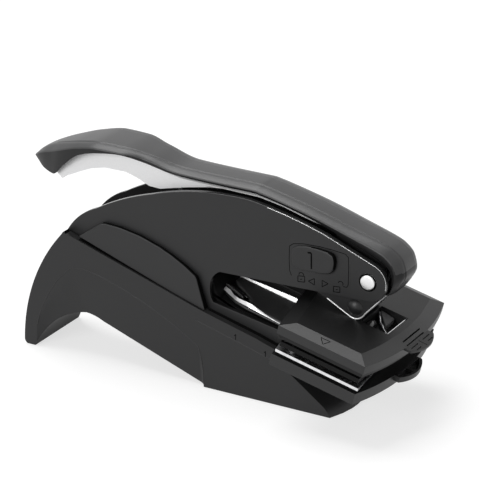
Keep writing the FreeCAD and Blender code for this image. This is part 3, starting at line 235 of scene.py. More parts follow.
LOOKS = {
    "black_plastic": dict(colour=(0.0145, 0.0145, 0.015), roughness=0.46, specular=0.35),
    "handle_plastic": dict(colour=(0.030, 0.030, 0.031), roughness=0.38, grain=0.25),
    # The skirt's finish is a darker, less glossy copy of handle_plastic: painted shade on the
    # cover's skirt.
    "skirt_shade": dict(colour=(0.014, 0.014, 0.0145), roughness=0.36, specular=0.22, grain=0.25),
    # A near black, dull copy of the black plastics, laid where shade falls inside the machine:
    # painted shade.
    "pit_shade": dict(colour=(0.006, 0.006, 0.0062), roughness=0.5, specular=0.12, grain=0.4),
    # A black, dull finish for lines and edges where shadow falls: painted shadow.
    "groove_shadow": dict(colour=(0.003, 0.003, 0.003), roughness=0.9, specular=0.05, grain=0.1),
    "black_plate": dict(colour=(0.0145, 0.0145, 0.015), roughness=0.46, specular=0.34, grain=0.3,
                        grain_size=3500.0),
    "cut_edge": dict(colour=(0.016, 0.016, 0.0165), roughness=0.20, grain=0.12, mottle=0.2),
    # The jaws' own finish and their borders' are a shaded and a lit copy of one black plastic:
    # painted shade on the tops and painted highlight on the borders.
    "black_jaw": dict(colour=(0.009, 0.009, 0.0092), roughness=0.40, specular=0.22),
    "jaw_border_highlight": dict(colour=(0.018, 0.018, 0.0185), roughness=0.42, specular=0.38),
    "plated_steel": dict(colour=(0.93, 0.93, 0.935), roughness=0.5, metal=0.15, grain=0.15,
                         mottle=0.05, cloud_size=1800.0),
    "spun_nickel": dict(colour=(0.79, 0.79, 0.79), roughness=0.30, metal=0.9, grain=0.12,
                        mottle=0.07, cloud_size=420.0),
    "bright_steel": dict(colour=(0.82, 0.82, 0.83), roughness=0.22, metal=1.0, grain=0.1,
                         mottle=0.06, cloud_size=500.0),
    # Bright bare steel for the tongue's lips and the press arm's edges, and a painted highlight
    # along the plates' rim.
    "bare_strip_and_highlight": dict(colour=(0.86, 0.86, 0.865), roughness=0.26, metal=0.5, grain=0.1,
                      mottle=0.05, cloud_size=700.0),
    "raw_edge": dict(colour=(0.70, 0.70, 0.71), roughness=0.30, metal=1.0, grain=0.5, mottle=0.35,
                     cloud_size=900.0),
    "shadowed_steel": dict(colour=(0.03, 0.03, 0.031), roughness=0.30, metal=0.5),
    "scuffed_grey": dict(colour=(0.11, 0.11, 0.112), roughness=0.6, grain=0.9, grain_size=1500.0,
                         mottle=0.45, cloud_size=1500.0),
    "dark_steel": dict(colour=(0.016, 0.016, 0.0165), roughness=0.36, specular=0.35, grain=0.25),
    "spring_steel": dict(colour=(0.6, 0.6, 0.62), roughness=0.3, metal=1.0),
    "shaded_wire": dict(colour=(0.07, 0.07, 0.072), roughness=0.42, metal=0.9),
    "die_brass": dict(colour=(0.78, 0.6, 0.3), roughness=0.35, metal=1.0),
    "die_resin": dict(colour=(0.7, 0.66, 0.52), roughness=0.35),
    "grey_rubber": dict(colour=(0.02, 0.02, 0.02), roughness=0.85, grain=0.5),
    "pad_grey": dict(colour=(0.045, 0.045, 0.046), roughness=0.55, grain=0.6, mottle=0.3,
                     cloud_size=700.0),
}
FINISHES = {name: finish_of(name, **look) for name, look in LOOKS.items()}

# What shows between the jaws in another finish than its slot's: near black for the upper die plate
# and the pad as painted shade, and a bare edge for the lower die plate.
INSIDE = {"upper_die_plate": "pit_shade", "lower_pad": "pit_shade", "lower_die_plate": "raw_edge"}


def dress_nodes():
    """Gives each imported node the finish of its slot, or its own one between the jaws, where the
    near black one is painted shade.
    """
    for name, slot in SLOTS.items():
        node = frame["nodes"][name]
        node.data.materials.clear()
        node.data.materials.append(FINISHES[INSIDE.get(name, slot)])


# ---------------------------------------------------------------- meshes

def add_piece(name, mesh, body, finish, *nodes):
    """Puts a finished mesh in the scene, on its body, in place of the nodes given."""
    piece = bpy.data.objects.new(name, mesh)
    bpy.context.scene.collection.objects.link(piece)
    mesh.materials.append(FINISHES[finish])
    mesh.shade_smooth()
    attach(piece, body)
    if nodes:
        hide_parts(*nodes)
    return piece


def points_of(mesh):
    """A mesh's points in millimetres."""
    places = np.empty(len(mesh.vertices) * 3)
    mesh.vertices.foreach_get("co", places)
    return places.reshape(-1, 3) / MM


def faces_of(mesh):
    """The centres of a mesh's faces in millimetres, and their normals."""
    centres = np.empty(len(mesh.polygons) * 3)
    normals = np.empty(len(mesh.polygons) * 3)
    mesh.polygons.foreach_get("center", centres)
    mesh.polygons.foreach_get("normal", normals)
    return centres.reshape(-1, 3) / MM, normals.reshape(-1, 3)


def paint(mesh, finishes, picked):
    """Adds finishes to a mesh and gives each face the one with its number."""
    for finish in finishes:
        mesh.materials.append(FINISHES[finish])
    mesh.polygons.foreach_set("material_index", picked.astype(np.int32))


def grid_faces(rows, columns):
    """Quads between neighbouring points of a grid whose last column joins its first."""
    row, column = np.meshgrid(np.arange(rows - 1), np.arange(columns), indexing="ij")
    beside = (column + 1) % columns
    corners = (row * columns + column, (row + 1) * columns + column,
               (row + 1) * columns + beside, row * columns + beside)
    return np.stack(corners, axis=-1).reshape(-1, 4)


def solid_mesh(name, points, faces):
    """A mesh in metres from points in millimetres: doubles merged, faces turned outwards."""
    mesh = bpy.data.meshes.new(name)
    mesh.from_pydata((points * MM).tolist(), [], faces.tolist())
    work = bmesh.new()
    work.from_mesh(mesh)
    bmesh.ops.remove_doubles(work, verts=work.verts, dist=MERGE / 2)
    bmesh.ops.dissolve_degenerate(work, edges=work.edges, dist=MERGE / 2)
    bmesh.ops.recalc_face_normals(work, faces=work.faces)
    work.to_mesh(mesh)
    work.free()
    return mesh


def edge_rounding(piece, width, limit=30.0, finish=-1):
    """A bevel along the piece's sharp edges, with its flat faces kept flat in the shading. The
    rounding takes the finish with the given number, or for -1 that of the faces beside it."""
    bevel = piece.modifiers.new("edges", "BEVEL")
    bevel.width = width * MM
    bevel.segments = 2
    bevel.limit_method = "ANGLE"
    bevel.angle_limit = math.radians(limit)
    bevel.material = finish
    shading = piece.modifiers.new("shading", "WEIGHTED_NORMAL")
    shading.weight = 100


def merged_copy(node):
    """A copy of a node's mesh, and the same open for edits with its loose triangles joined."""
    mesh = frame["nodes"][node].data.copy()
    mesh.materials.clear()
    work = bmesh.new()
    work.from_mesh(mesh)
    bmesh.ops.remove_doubles(work, verts=work.verts, dist=MERGE)
    return mesh, work


def softened(node, width, limit=28.0, reshape=None, cuts=(), second=(), chosen=None):
    """A copy of a node with its triangles merged into flat faces and its sharp edges rounded.
    Reshape moves its points, after the faces are cut across at each X in cuts. Chosen numbers
    the faces by centre and normal: 0 for the node's own finish, from 1 on for the second ones."""
    mesh, work = merged_copy(node)
    bmesh.ops.dissolve_degenerate(work, edges=work.edges, dist=MERGE)
    for x in cuts:
        bmesh.ops.bisect_plane(work, geom=work.verts[:] + work.edges[:] + work.faces[:],
                               plane_co=(x * MM, 0, 0), plane_no=(1, 0, 0))
    if reshape:
        work.to_mesh(mesh)
        mesh.vertices.foreach_set("co", (reshape(points_of(mesh)) * MM).ravel())
        work.clear()
        work.from_mesh(mesh)
    bmesh.ops.dissolve_limit(work, angle_limit=math.radians(1.0), verts=work.verts,
                             edges=work.edges)
    work.to_mesh(mesh)
    work.free()
    piece = add_piece(node + "_piece", mesh, frame["nodes"][node]["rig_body"], SLOTS[node], node)
    if chosen:
        paint(mesh, second, chosen(*faces_of(mesh)))
    edge_rounding(piece, width, limit)


def all_faces(centres, normals):
    """Every face takes the first of the second finishes."""
    return np.ones(len(centres))


def side_face(hand, out, x=0.0, z=0.0):
    """A face that looks sideways, so far out from the middle, on the near side for hand -1 and
    on the far side for 1: its origin, its two directions and its normal."""
    return (x, hand * out, z), (1, 0, 0), (0, 0, 1), (0, hand, 0)


def out_of(hand):
    """Places points of X, Z and a distance out from the middle on the near or far side."""
    def place(x, z, out):
        return np.stack([x, hand * out, z], axis=-1)
    return place


# ---------------------------------------------------------------- handle cover

PIVOT = np.array([59.6, 51.0])


def nose_point(radius, degrees):
    """A point of the handle's nose, round the lever pivot."""
    angle = math.radians(degrees)
    return (PIVOT[0] + radius * math.cos(angle), PIVOT[1] + radius * math.sin(angle))


def cover_stations():
    """Rows from tail to nose: the top's X and Z, the lower edge's X and Z, half the width of the
    flat top and of the skirt, and the drop of the sloping shoulder, in millimetres."""
    rows = [
        (-77.3, 69.05, -77.3, 68.3, 1.4, 2.6, 0.35),
        (-75.2, 71.0, -75.0, 67.1, 2.1, 4.0, 0.9),
        (-72.4, 73.0, -72.2, 65.4, 3.0, 5.3, 1.6),
        (-67.6, 75.3, -67.4, 64.5, 4.5, 7.02, 2.2),
        (-62.8, 77.0, -62.0, 69.1, 6.2, 8.89, 2.0),
        (-55.0, 79.2, -54.6, 74.7, 8.2, 10.53, 1.6),
        (-46.0, 80.65, -46.0, 77.4, 9.2, 11.45, 1.5),
        (-37.0, 80.45, -37.2, 78.3, 8.9, 11.1, 1.4),
        (-27.0, 78.7, -27.6, 76.1, 7.0, 8.6, 1.2),
        (-14.6, 75.9, -15.0, 73.7, 5.2, 8.0, 1.1),
        (2.0, 75.5, 2.0, 73.2, 5.0, 8.0, 1.1),
        (14.2, 75.40, 14.2, 73.05, 5.0, 8.0, 1.1),
        (18.0, 74.85, 17.9, 72.5, 5.0, 8.0, 1.1),
        (34.0, 71.2, 33.2, 68.9, 5.0, 8.0, 1.1),
        (50.0, 66.6, 48.6, 63.8, 5.0, 8.0, 1.3),
    ]
    for outer, inner, angle, shoulder in ((12.2, 7.9, 62, 1.9), (12.0, 7.7, 36, 2.2),
                                          (11.1, 7.5, 12, 2.2), (9.2, 7.4, -12, 1.4),
                                          (8.5, 7.4, -34, 0.8)):
        rows.append((*nose_point(outer, angle), *nose_point(inner, angle), 5.0, 8.0, shoulder))
    return np.array(rows)


def eased_rows(rows, steps):
    """Rows put between the given ones along a curve that never overshoots: a cubic blend of
    neighbours whose slope at each row is the harmonic mean of the slopes beside it."""
    change = np.diff(rows, axis=0)
    before, after = change[:-1], change[1:]
    turning = before * after <= 0
    total = np.where(turning, 1.0, before + after)
    slopes = np.zeros_like(rows)
    slopes[1:-1] = np.where(turning, 0.0, 2 * before * after / total)
    share = np.linspace(0, 1, steps, endpoint=False)[None, :, None]
    low, high = rows[:-1, None, :], rows[1:, None, :]
    blend = share * share * (3 - 2 * share)
    curve = low + (high - low) * blend + share * (1 - share) ** 2 * slopes[:-1, None, :] \
        - share ** 2 * (1 - share) * slopes[1:, None, :]
    return np.concatenate([curve.reshape(-1, rows.shape[1]), rows[-1:]])


def rounded_corner(before, corner, after, reach, count):
    """Points of a quadratic arc that cuts the corner: it starts and ends the reach away from the
    corner on its two edges, or a share of a short edge."""
    def toward(other):
        edge = other - corner
        length = np.linalg.norm(edge, axis=1, keepdims=True)
        return corner + edge * np.minimum(reach / np.maximum(length, 1e-6), 0.46)
    start, end = toward(before), toward(after)
    share = np.linspace(0, 1, count)[None, :, None]
    return ((1 - share) ** 2 * start[:, None] + 2 * share * (1 - share) * corner[:, None]
            + share ** 2 * end[:, None])


def cover_ring(tall, flat, wide, shoulder, wall):
    """Points across and up of each section of the cover. Half a section runs over the crowned
    top, height = tall - crown (across / flat)^2, down the sloping shoulder and the skirt, and
    back inside under the roof; the other half mirrors it."""
    crown = np.minimum(0.03 * flat, 0.2)
    roof = np.maximum(tall - wall, 0.25)
    lean = np.minimum(0.35, wide * 0.05)
    skirt = np.minimum(1.5, wide * 0.35)

    def at(across, height):
        return np.stack([across, height], axis=1)

    corners = [
        at(flat, tall - crown),
        at(wide, tall - shoulder),
        at(wide - lean, 0 * tall),
        at(wide - lean - skirt * 0.8, 0 * tall),
        at(wide - skirt - 0.1, np.maximum(roof - shoulder * 0.8, 0.12)),
        at(np.maximum(flat - 1.0, 0.3), roof),
        at(0 * flat, roof),
    ]
    reach = np.minimum(1.1, flat * 0.3)[:, None]
    across = np.linspace(0, 1, 7)[None, :] * (flat[:, None] - reach)
    height = tall[:, None] - crown[:, None] * (across / flat[:, None]) ** 2
    half = [np.stack([across, height], axis=2)]
    before = at(flat * 0.5, tall - crown * 0.25)
    roundings = ((1.1, 6), (0.55, 5), (0.3, 4), (0.3, 3), (0.4, 3), (0.5, 3))
    for corner, after, (reach, count) in zip(corners[:-1], corners[1:], roundings):
        half.append(rounded_corner(before, corner, after, reach, count))
        before = corner
    half.append(corners[-1][:, None])
    half = np.concatenate(half, axis=1)
    other = half[:, -2:0:-1] * np.array([-1, 1])
    return np.concatenate([half, other], axis=1)


def make_cover():
    """The cover as rings along its length, each in a plane that runs from its lower edge to its
    top. The wall grows to a solid hook at the tail, and both ends shrink to a point."""
    rows = eased_rows(cover_stations(), 14)
    top, low = rows[:, 0:2], rows[:, 2:4]
    flat, wide, shoulder = rows[:, 4], rows[:, 5], rows[:, 6]
    tall = np.linalg.norm(top - low, axis=1)
    wall = np.minimum(2.0, tall * 0.85)
    solid_tail = np.clip((-70.0 - rows[:, 0]) / 3.0, 0, 1)
    wall = wall + (tall - wall - 0.3) * solid_tail
    ring = cover_ring(tall, flat, wide, shoulder, wall)
    up = (top - low) / tall[:, None]
    points = np.stack([low[:, None, 0] + ring[:, :, 1] * up[:, None, 0], ring[:, :, 0],
                       low[:, None, 1] + ring[:, :, 1] * up[:, None, 1]], axis=2)
    tail = points[:1].mean(axis=1, keepdims=True)
    nose = points[-1:].mean(axis=1, keepdims=True)
    tail_cap = [tail + (points[:1] - tail) * size + [[[-push, 0, 0.1 * push]]]
                for size, push in ((0.0, 0.45), (0.5, 0.40), (0.85, 0.2))]
    nose_cap = [nose + (points[-1:] - nose) * size for size in (0.85, 0.0)]
    points = np.concatenate([*tail_cap, points, *nose_cap])
    faces = grid_faces(points.shape[0], points.shape[1])
    mesh = solid_mesh("handle_cover_shell", points.reshape(-1, 3), faces)
    add_piece("handle_cover_shell", mesh, "lever", "handle_plastic", "handle_cover")
    centres, normals = faces_of(mesh)
    # The skirt below the shoulder takes a darker copy of the cover's finish: painted shade.
    paint(mesh, ["skirt_shade"], normals[:, 2] < 0.15)


# ---------------------------------------------------------------- lever

TAIL_START = -57.0
TAIL_LENGTH = 4.8
TAIL_EDGE = np.array([[-56.6, 67.0], [-61.0, 65.0], [-64.7, 62.6]])
TAIL_WEB = np.array([[-57.0, 76.25], [-64.4, 72.8], [-68.3, 66.4]])
WAIST_X = [-27.6, -23.3, -13.3, -4.3, 2.6, 8.0]
WAIST_Z = [66.9, 67.0, 69.4, 71.2, 71.9, 71.9]
COVERED_FROM = 43.5


def drawn_out(points):
    """The lever with its rear end drawn out under the hook of the cover and its waist narrowed
    over the plates. The tail's lower edge and its web follow the curves
    p0 (1-t)(1-2t) + 4 p1 t (1-t) + p2 t (2t-1), with t from 0 at TAIL_START to 1 at the end and
    each point kept at its share of the height between them; the waist's lower edge is straight
    between its corners."""
    x, z = points[:, 0], points[:, 2]
    t = np.clip((TAIL_START - x) / TAIL_LENGTH, 0, 1)[:, None]

    def along(curve):
        return (curve[0] * (1 - t) * (1 - 2 * t) + 4 * curve[1] * t * (1 - t)
                + curve[2] * t * (2 * t - 1))
    low_z = 67.0 - 2.0 * t[:, 0]
    web_z = 76.25 - 1.4 * t[:, 0]
    share = np.clip((z - low_z) / (web_z - low_z), 0, 1.02)[:, None]
    place = along(TAIL_EDGE) + (along(TAIL_WEB) - along(TAIL_EDGE)) * share
    moved = points.copy()
    tail = x < TAIL_START
    moved[tail, 0] = place[tail, 0]
    moved[tail, 2] = place[tail, 1]
    waist = (x > -27.8) & (x < 8.0)
    moved[waist, 2] = np.maximum(z, np.interp(x, WAIST_X, WAIST_Z))[waist]
    return moved


def covered_faces(centres, normals):
    """The lever's faces between the plates' noses, which are painted dark as shade."""
    return centres[:, 0] > COVERED_FROM


# ---------------------------------------------------------------- throat and clip

CLIP = np.array([36.8, 0.0, 38.1])
TILT = math.radians(13.5)
ALONG = np.array([math.cos(TILT), 0.0, -math.sin(TILT)])
ACROSS = np.array([0.0, 1.0, 0.0])
RISE = np.array([math.sin(TILT), 0.0, math.cos(TILT)])
CLIP_HALF = 30.0
PLATE_FACE = 10.5
BASE_FACE = 14.3
ARM_FACE = 7.9


def from_clip(along, across, height):
    """Points of the clip's own frame: along its slope, across it and above the jaw's rear edge."""
    along, across, height = np.broadcast_arrays(along, across, height)
    return (CLIP + along[..., None] * ALONG + height[..., None] * RISE
            + across[..., None] * ACROSS)


def to_clip(points):
    """The same three numbers of points given in the machine's frame."""
    away = points - CLIP
    return away @ ALONG, points[:, 1], away @ RISE


def deepened(points):
    """A plate with its throat's floor let down to take the tongue: heights below the middle of
    the throat grow by a share that falls from its rear end to the clip."""
    along, across, height = to_clip(points)
    middle = -8.5
    inside = (along < -4.5) & (along > -38.0) & (height < middle) & (height > -14.2)
    share = 0.283 * np.clip((-5.0 - along) / 28.8, 0, 1.15)
    return points + ((height - middle) * share * inside)[:, None] * RISE


def narrowed_slit(points):
    """The far plate, deepened too, with the slit in its guard drawn in from above by 0.75."""
    points = deepened(points)
    along, across, height = to_clip(points)
    upper = (np.abs(height + 7.9) < 0.15) & (along > -32) & (along < -3)
    return points - 0.75 * RISE * upper[:, None]


def lowered_floor(points):
    """The core with its throat floor let down by 1.95 to take the tongue."""
    along, across, height = to_clip(points)
    floor = (np.abs(height + 12.55) < 0.2) & (along > -38) & (along < 6)
    return points - 1.95 * RISE * floor[:, None]


def base_line(x):
    """The height of the base's sloping top."""
    return 47.5 - 0.31823 * (x + 57.3)


def lowered_rim(points):
    """The base with its rim let down behind the throat, by up to 1.2 at the rear, and its slots
    for the plates drawn in."""
    x, y, z = points.T
    rim = (np.abs(z - base_line(x)) < 0.4) & (np.abs(y) > 8.7) & (x < 32)
    slot_wall = np.abs(np.abs(y) - 12.0) < 0.05
    moved = points.copy()
    moved[:, 2] -= 1.2 * np.clip((19.0 - x) / 22.0, 0, 1) * rim
    moved[:, 1] = np.where(slot_wall, np.sign(y) * 11.3, y)
    return moved


def arch_faces(centres, normals):
    """The base's faces that look down or into the hand arch, which are painted near black as shade.
    """
    under = (normals[:, 2] < -0.15) | ((normals[:, 0] > 0.3) & (centres[:, 0] < -40))
    return under & (np.abs(normals[:, 1]) < 0.5)


def cut_faces(centres, normals):
    """A plate's cut edges, 1, and what looks into the machine or the throat, 2, which is painted
    near black as shade.
    """
    along, across, height = to_clip(centres)
    throat = (along > -38) & (along < 12) & (height < -8)
    edge = np.abs(normals[:, 1]) < 0.5
    inner = normals[:, 1] * np.sign(centres[:, 1]) < -0.5
    return np.where(edge, np.where(throat, 2, 1), np.where(inner, 2, 0))


def shallow_side(points):
    """The upper jaw with its foot raised by 1.1, to show the backing plate's rim under it."""
    along, across, height = to_clip(points)
    return points + 1.1 * RISE * (np.abs(height + 4.2) < 0.1)[:, None]


def border_faces(centres, normals):
    """A jaw's sloping borders and upright sides, in a lighter, glossier copy of its finish as a
    painted highlight, 1; inside it, painted near black as shade, 2.
    """
    rear = (normals @ ALONG < -0.15) & (normals @ RISE > 0.5)
    inside = (normals @ RISE > 0.9) & (to_clip(centres)[2] < -8)
    return np.where(inside, 2, (normals @ RISE < 0.985) & ~rear)


def make_backing_rim():
    """The rim of the backing plate: the jaw's plan drawn in by an inset, with its bowed front an
    arc x = side + sqrt(R^2 - y^2) - sqrt(R^2 - half^2)."""
    inset, radius = 0.55, 104.5
    half = CLIP_HALF - inset
    across = np.linspace(-half, half, 33)
    front = 33.2 - inset + np.sqrt(radius ** 2 - across ** 2) - math.sqrt(radius ** 2 - half ** 2)
    outline = [(inset, -half), *zip(front.tolist(), across.tolist()), (inset, half),
               (inset - 5.6, 0.0)]
    rim = slab("backing_rim", outline, -4.75, -3.15, "jaw", "black_jaw", "upper_backing_plate")
    edge_rounding(rim, 0.15)


def tube(centres, side, lift, half, rise):
    """A bar along a line of centres: its cross-section is the half-ellipse half cos(a) side +
    rise sin(a) lift with a flat back, and it narrows to the line at its first end."""
    angle = np.concatenate([np.linspace(0, math.pi, 7), [math.pi, 0]])
    depth = np.concatenate([np.sin(np.linspace(0, math.pi, 7)) * rise, [-0.08, -0.08]])
    rows = (centres[:, None] + half * np.cos(angle)[None, :, None] * side[:, None]
            + depth[None, :, None] * lift)
    end = np.repeat(centres[:1, None], len(angle), axis=1)
    points = np.concatenate([end, rows])
    return points.reshape(-1, 3), grid_faces(points.shape[0], points.shape[1])


def swept(name, rows):
    """A mesh through rows of points, which narrows to their middle at its first end."""
    end = rows[:1].mean(axis=1, keepdims=True).repeat(rows.shape[1], axis=1)
    points = np.concatenate([end, rows])
    return solid_mesh(name, points.reshape(-1, 3), grid_faces(points.shape[0], points.shape[1]))


def direction_of(points):
    """The unit direction of a line at each of its points."""
    slope = np.gradient(points, axis=0)
    return slope / np.maximum(np.linalg.norm(slope, axis=1, keepdims=True), 1e-9)


def evened(corners, step):
    """Points at even steps along the straight lines between corners."""
    corners = np.array(corners, float)
    run = np.concatenate([[0], np.cumsum(np.linalg.norm(np.diff(corners, axis=0), axis=1))])
    where = np.linspace(0, run[-1], max(int(round(run[-1] / step)), 2) + 1)
    return np.stack([np.interp(where, run, corners[:, k]) for k in (0, 1)], axis=1)


def strokes(name, lines, plane, half, rise, body, finish, step=0.3):
    """Raised lines on a face. Plane gives the face's origin, its two directions and its normal;
    each line is a list of corners in those directions."""
    origin, across, upward, lift = [np.array(part, float) for part in plane]
    points, faces, count = [], [], 0
    for line in lines:
        path = evened(line, step)
        slope = direction_of(path)
        centres = origin + path[:, :1] * across + path[:, 1:] * upward
        side = -slope[:, 1:] * across + slope[:, :1] * upward
        bar, bar_faces = tube(centres, side, lift, half, rise)
        points.append(bar)
        faces.append(bar_faces + count)
        count += len(bar)
    mesh = solid_mesh(name, np.concatenate(points), np.concatenate(faces))
    add_piece(name, mesh, body, finish)


def slab(name, outline, low, high, body, finish, *nodes, place=from_clip):
    """A plate with the outline given in two directions, from its low to its high face, which
    may differ from corner to corner; place maps the three numbers to the machine."""
    outline = np.array(outline, float)
    count = len(outline)
    rings = [place(outline[:, 0], outline[:, 1], np.broadcast_to(np.asarray(face, float), (count,)))
             for face in (low, high)]
    mesh = bpy.data.meshes.new(name)
    sides = grid_faces(2, count).tolist()
    caps = [list(range(count)), list(range(count, 2 * count))]
    mesh.from_pydata((np.concatenate(rings) * MM).tolist(), [], sides + caps)
    work = bmesh.new()
    work.from_mesh(mesh)
    bmesh.ops.recalc_face_normals(work, faces=work.faces)
    work.to_mesh(mesh)
    work.free()
    return add_piece(name, mesh, body, finish, *nodes)


def lip(name, low, top, back, *nodes):
    """A lip of the tongue: a bar whose cross-section has its low, top and back corners on three
    paths of along, across and height, each followed by its share of the length."""
    share = np.linspace(0, 1, 64)

    def follow(path):
        path = np.array(path, float)
        run = np.concatenate([[0], np.cumsum(np.linalg.norm(np.diff(path[:, :2], axis=0), axis=1))])
        return from_clip(*[np.interp(share * run[-1], run, path[:, k]) for k in range(3)])

    rows = np.stack([follow(low), follow(top), follow(back)], axis=1)
    piece = add_piece(name, swept(name, rows), "clip", "bare_strip_and_highlight", *nodes)
    edge_rounding(piece, 0.1)


TONGUE_FLOOR = -13.1


def make_tongue():
    """The tongue: a floor whose near side draws in at the tail, a near lip that is widest in its
    middle and a far lip that leans out and steps up."""
    tail = [(-34.3, -3.3), (-31.9, -4.8), (-29.6, -6.0), (-27.0, -7.3), (-22.0, -8.1),
            (-5.0, -8.3), (1.9, -8.3), (1.9, 8.3), (-33.4, 8.3)]
    slab("tongue_floor", tail, TONGUE_FLOOR - 0.8, TONGUE_FLOOR, "clip", "shadowed_steel")
    low = [(-34.4, -3.5, -13.1), (-31.7, -4.8, -13.0), (-29.5, -5.95, -12.9), (-26.9, -7.3, -12.7),
           (-20.2, -8.1, -12.5), (-15.0, -8.2, -12.7), (-5.0, -8.3, -13.1)]
    top = [(-34.0, -2.7, -12.0), (-31.6, -4.0, -11.6), (-28.4, -6.7, -11.3), (-25.9, -7.5, -11.2),
           (-22.6, -7.5, -11.05), (-21.3, -7.4, -11.15), (-18.2, -7.5, -11.6), (-14.6, -7.7, -12.2),
           (-9.6, -7.9, -12.7), (-5.0, -8.0, -12.8)]
    back = [(along, across + 0.5, TONGUE_FLOOR) for along, across, height in top]
    lip("tongue_near_lip", low, top, back, "clip_tongue")
    steps = [(-34.3, 1.2), (-29.2, 1.4), (-26.5, 1.6), (-25.0, 1.65), (-24.8, 1.7), (-11.8, 2.3),
             (-11.0, 2.1), (-10.6, 1.3)]
    lip("tongue_far_lip", [(along, 7.6, -13.05) for along, rise in steps],
        [(along, 7.6 + 0.3 * rise, -13.0 + rise) for along, rise in steps],
        [(along, 8.35, -13.05) for along, rise in steps])


def make_tongue_pad():
    """The pad on the tongue: a sheet whose slanting rear end rolls down to the floor. Its rows
    run from the rear edge to the front, and its height falls off as a quarter ellipse,
    thick sqrt(1 - (1 - away / roll)^2) at a distance away from the rear edge."""
    thick, roll, front = 0.75, 2.0, -5.0
    share = np.linspace(0, 1, 44)[:, None]
    across = np.linspace(-7.9, 7.5, 30)
    rear = np.interp(across, [-7.9, -6.05, -4.4, -1.1, 0.5, 2.2, 4.5, 7.5],
                     [-10.0, -18.9, -22.8, -26.2, -28.65, -31.85, -34.2, -34.5])
    along = rear + (front - rear) * share ** 1.6
    reach = np.clip((along - rear) / roll, 0, 1)
    upper = from_clip(along, across, -13.05 + thick * np.sqrt(1 - (1 - reach) ** 2))
    lower = from_clip(along, across, TONGUE_FLOOR)
    rows = np.concatenate([upper, lower[:, ::-1]], axis=1)
    add_piece("tongue_pad", swept("tongue_pad", rows), "clip", "pad_grey", "tongue_strip")


def clip_bar(name, centres, half, rise, body, finish):
    """A bar along a line in the clip, with its round side up."""
    side = np.cross(RISE, direction_of(centres))
    add_piece(name, solid_mesh(name, *tube(centres, side, RISE, half, rise)), body, finish)


def make_roll():
    """A dark roll between the pad and the near lip, along a slightly bent line."""
    share = np.linspace(0, 1, 24)
    centres = from_clip(-34.9 + 9.9 * share, -0.4 - 2.7 * share - 1.2 * share ** 2, -13.0)
    clip_bar("tongue_roll", centres, 1.6, 1.3, "clip", "cut_edge")


def turned(name, radius, across, count, place):
    """A mesh turned about an axis across the machine: a radius at each place across, and the
    number of points round it."""
    turn = np.linspace(0, 2 * math.pi, count, endpoint=False)
    radius = np.array(radius)[:, None]
    points = place(radius * np.cos(turn), np.array(across)[:, None], radius * np.sin(turn))
    return solid_mesh(name, points.reshape(-1, 3), grid_faces(len(radius), count))


def make_window():
    """What shows in the upper jaw's window: a short roller, a scuffed wedge, a bent wire and the
    strip along its front."""
    roll = turned("window_roll", [0.0, 1.5, 1.7, 1.7, 1.5, 0.0],
                  [-7.3, -7.3, -7.1, -1.2, -1.0, -1.0], 36,
                  lambda along, across, height: from_clip(21.2 + along, across, -1.3 + height))
    add_piece("window_roll", roll, "jaw", "cut_edge", "window_roller")
    wedge = slab("window_block", [(19.7, 7.3), (25.4, 7.3), (25.6, 0.2), (21.6, 4.4)], -3.0,
                 [0.2, -0.6, -0.8, -0.1], "jaw", "scuffed_grey", "window_wedge")
    edge_rounding(wedge, 0.3)
    path = evened([(19.8, 6.6), (21.3, 3.2), (24.2, -1.0), (26.6, -3.2), (28.3, -5.6)], 0.4)
    heights = -0.3 + 0.25 * np.sin(path[:, 0] * 2.1)
    clip_bar("window_wire", from_clip(path[:, 0], path[:, 1], heights), 0.35, 0.3, "jaw",
             "raw_edge")
    rim = slab("window_rim", [(29.0, -7.3), (29.35, -7.3), (29.35, 7.3), (29.0, 7.3)], -3.0, 0.9,
               "jaw", "raw_edge", "window_strip")
    edge_rounding(rim, 0.1)


# ---------------------------------------------------------------- springs

JAW_SPRING_FOOT = -9.15


def make_coil(node, direction, foot):
    """A spring that its joint presses, copied as it stands: its direction and its foot, in
    millimetres, measure its height along the direction, which is not used."""
    mesh, work = merged_copy(node)
    work.to_mesh(mesh)
    work.free()
    tall = ((points_of(mesh) - foot) @ direction).max()
    # The spring takes a dark wire finish in place of its slot's bright one: painted shade.
    coil = add_piece(node + "_coil", mesh, frame["nodes"][node]["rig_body"], "shaded_wire", node)
    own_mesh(coil)


def make_coils():
    """The lever's return spring, which the lever presses from z 72.8 to 62.1, and the jaws'
    springs, each copied as it stands.
    """
    make_coil("return_spring", np.array([0.0, 0.0, 1.0]),
              np.array([-22.0, 0.0, 46.0]))
    make_coil("jaw_springs", RISE, from_clip(0.0, 0.0, JAW_SPRING_FOOT))


# ---------------------------------------------------------------- lock, pin and marks

BUTTON = [(31.5, 51.6), (33.5, 50.7), (36.0, 50.5), (43.3, 50.9), (46.4, 51.7), (47.6, 53.4),
          (48.0, 56.4), (47.4, 58.6), (45.4, 59.3), (41.0, 59.65), (37.0, 59.6), (33.0, 58.9),
          (31.3, 57.6), (31.0, 54.6)]
BUTTON_FACE = 10.55


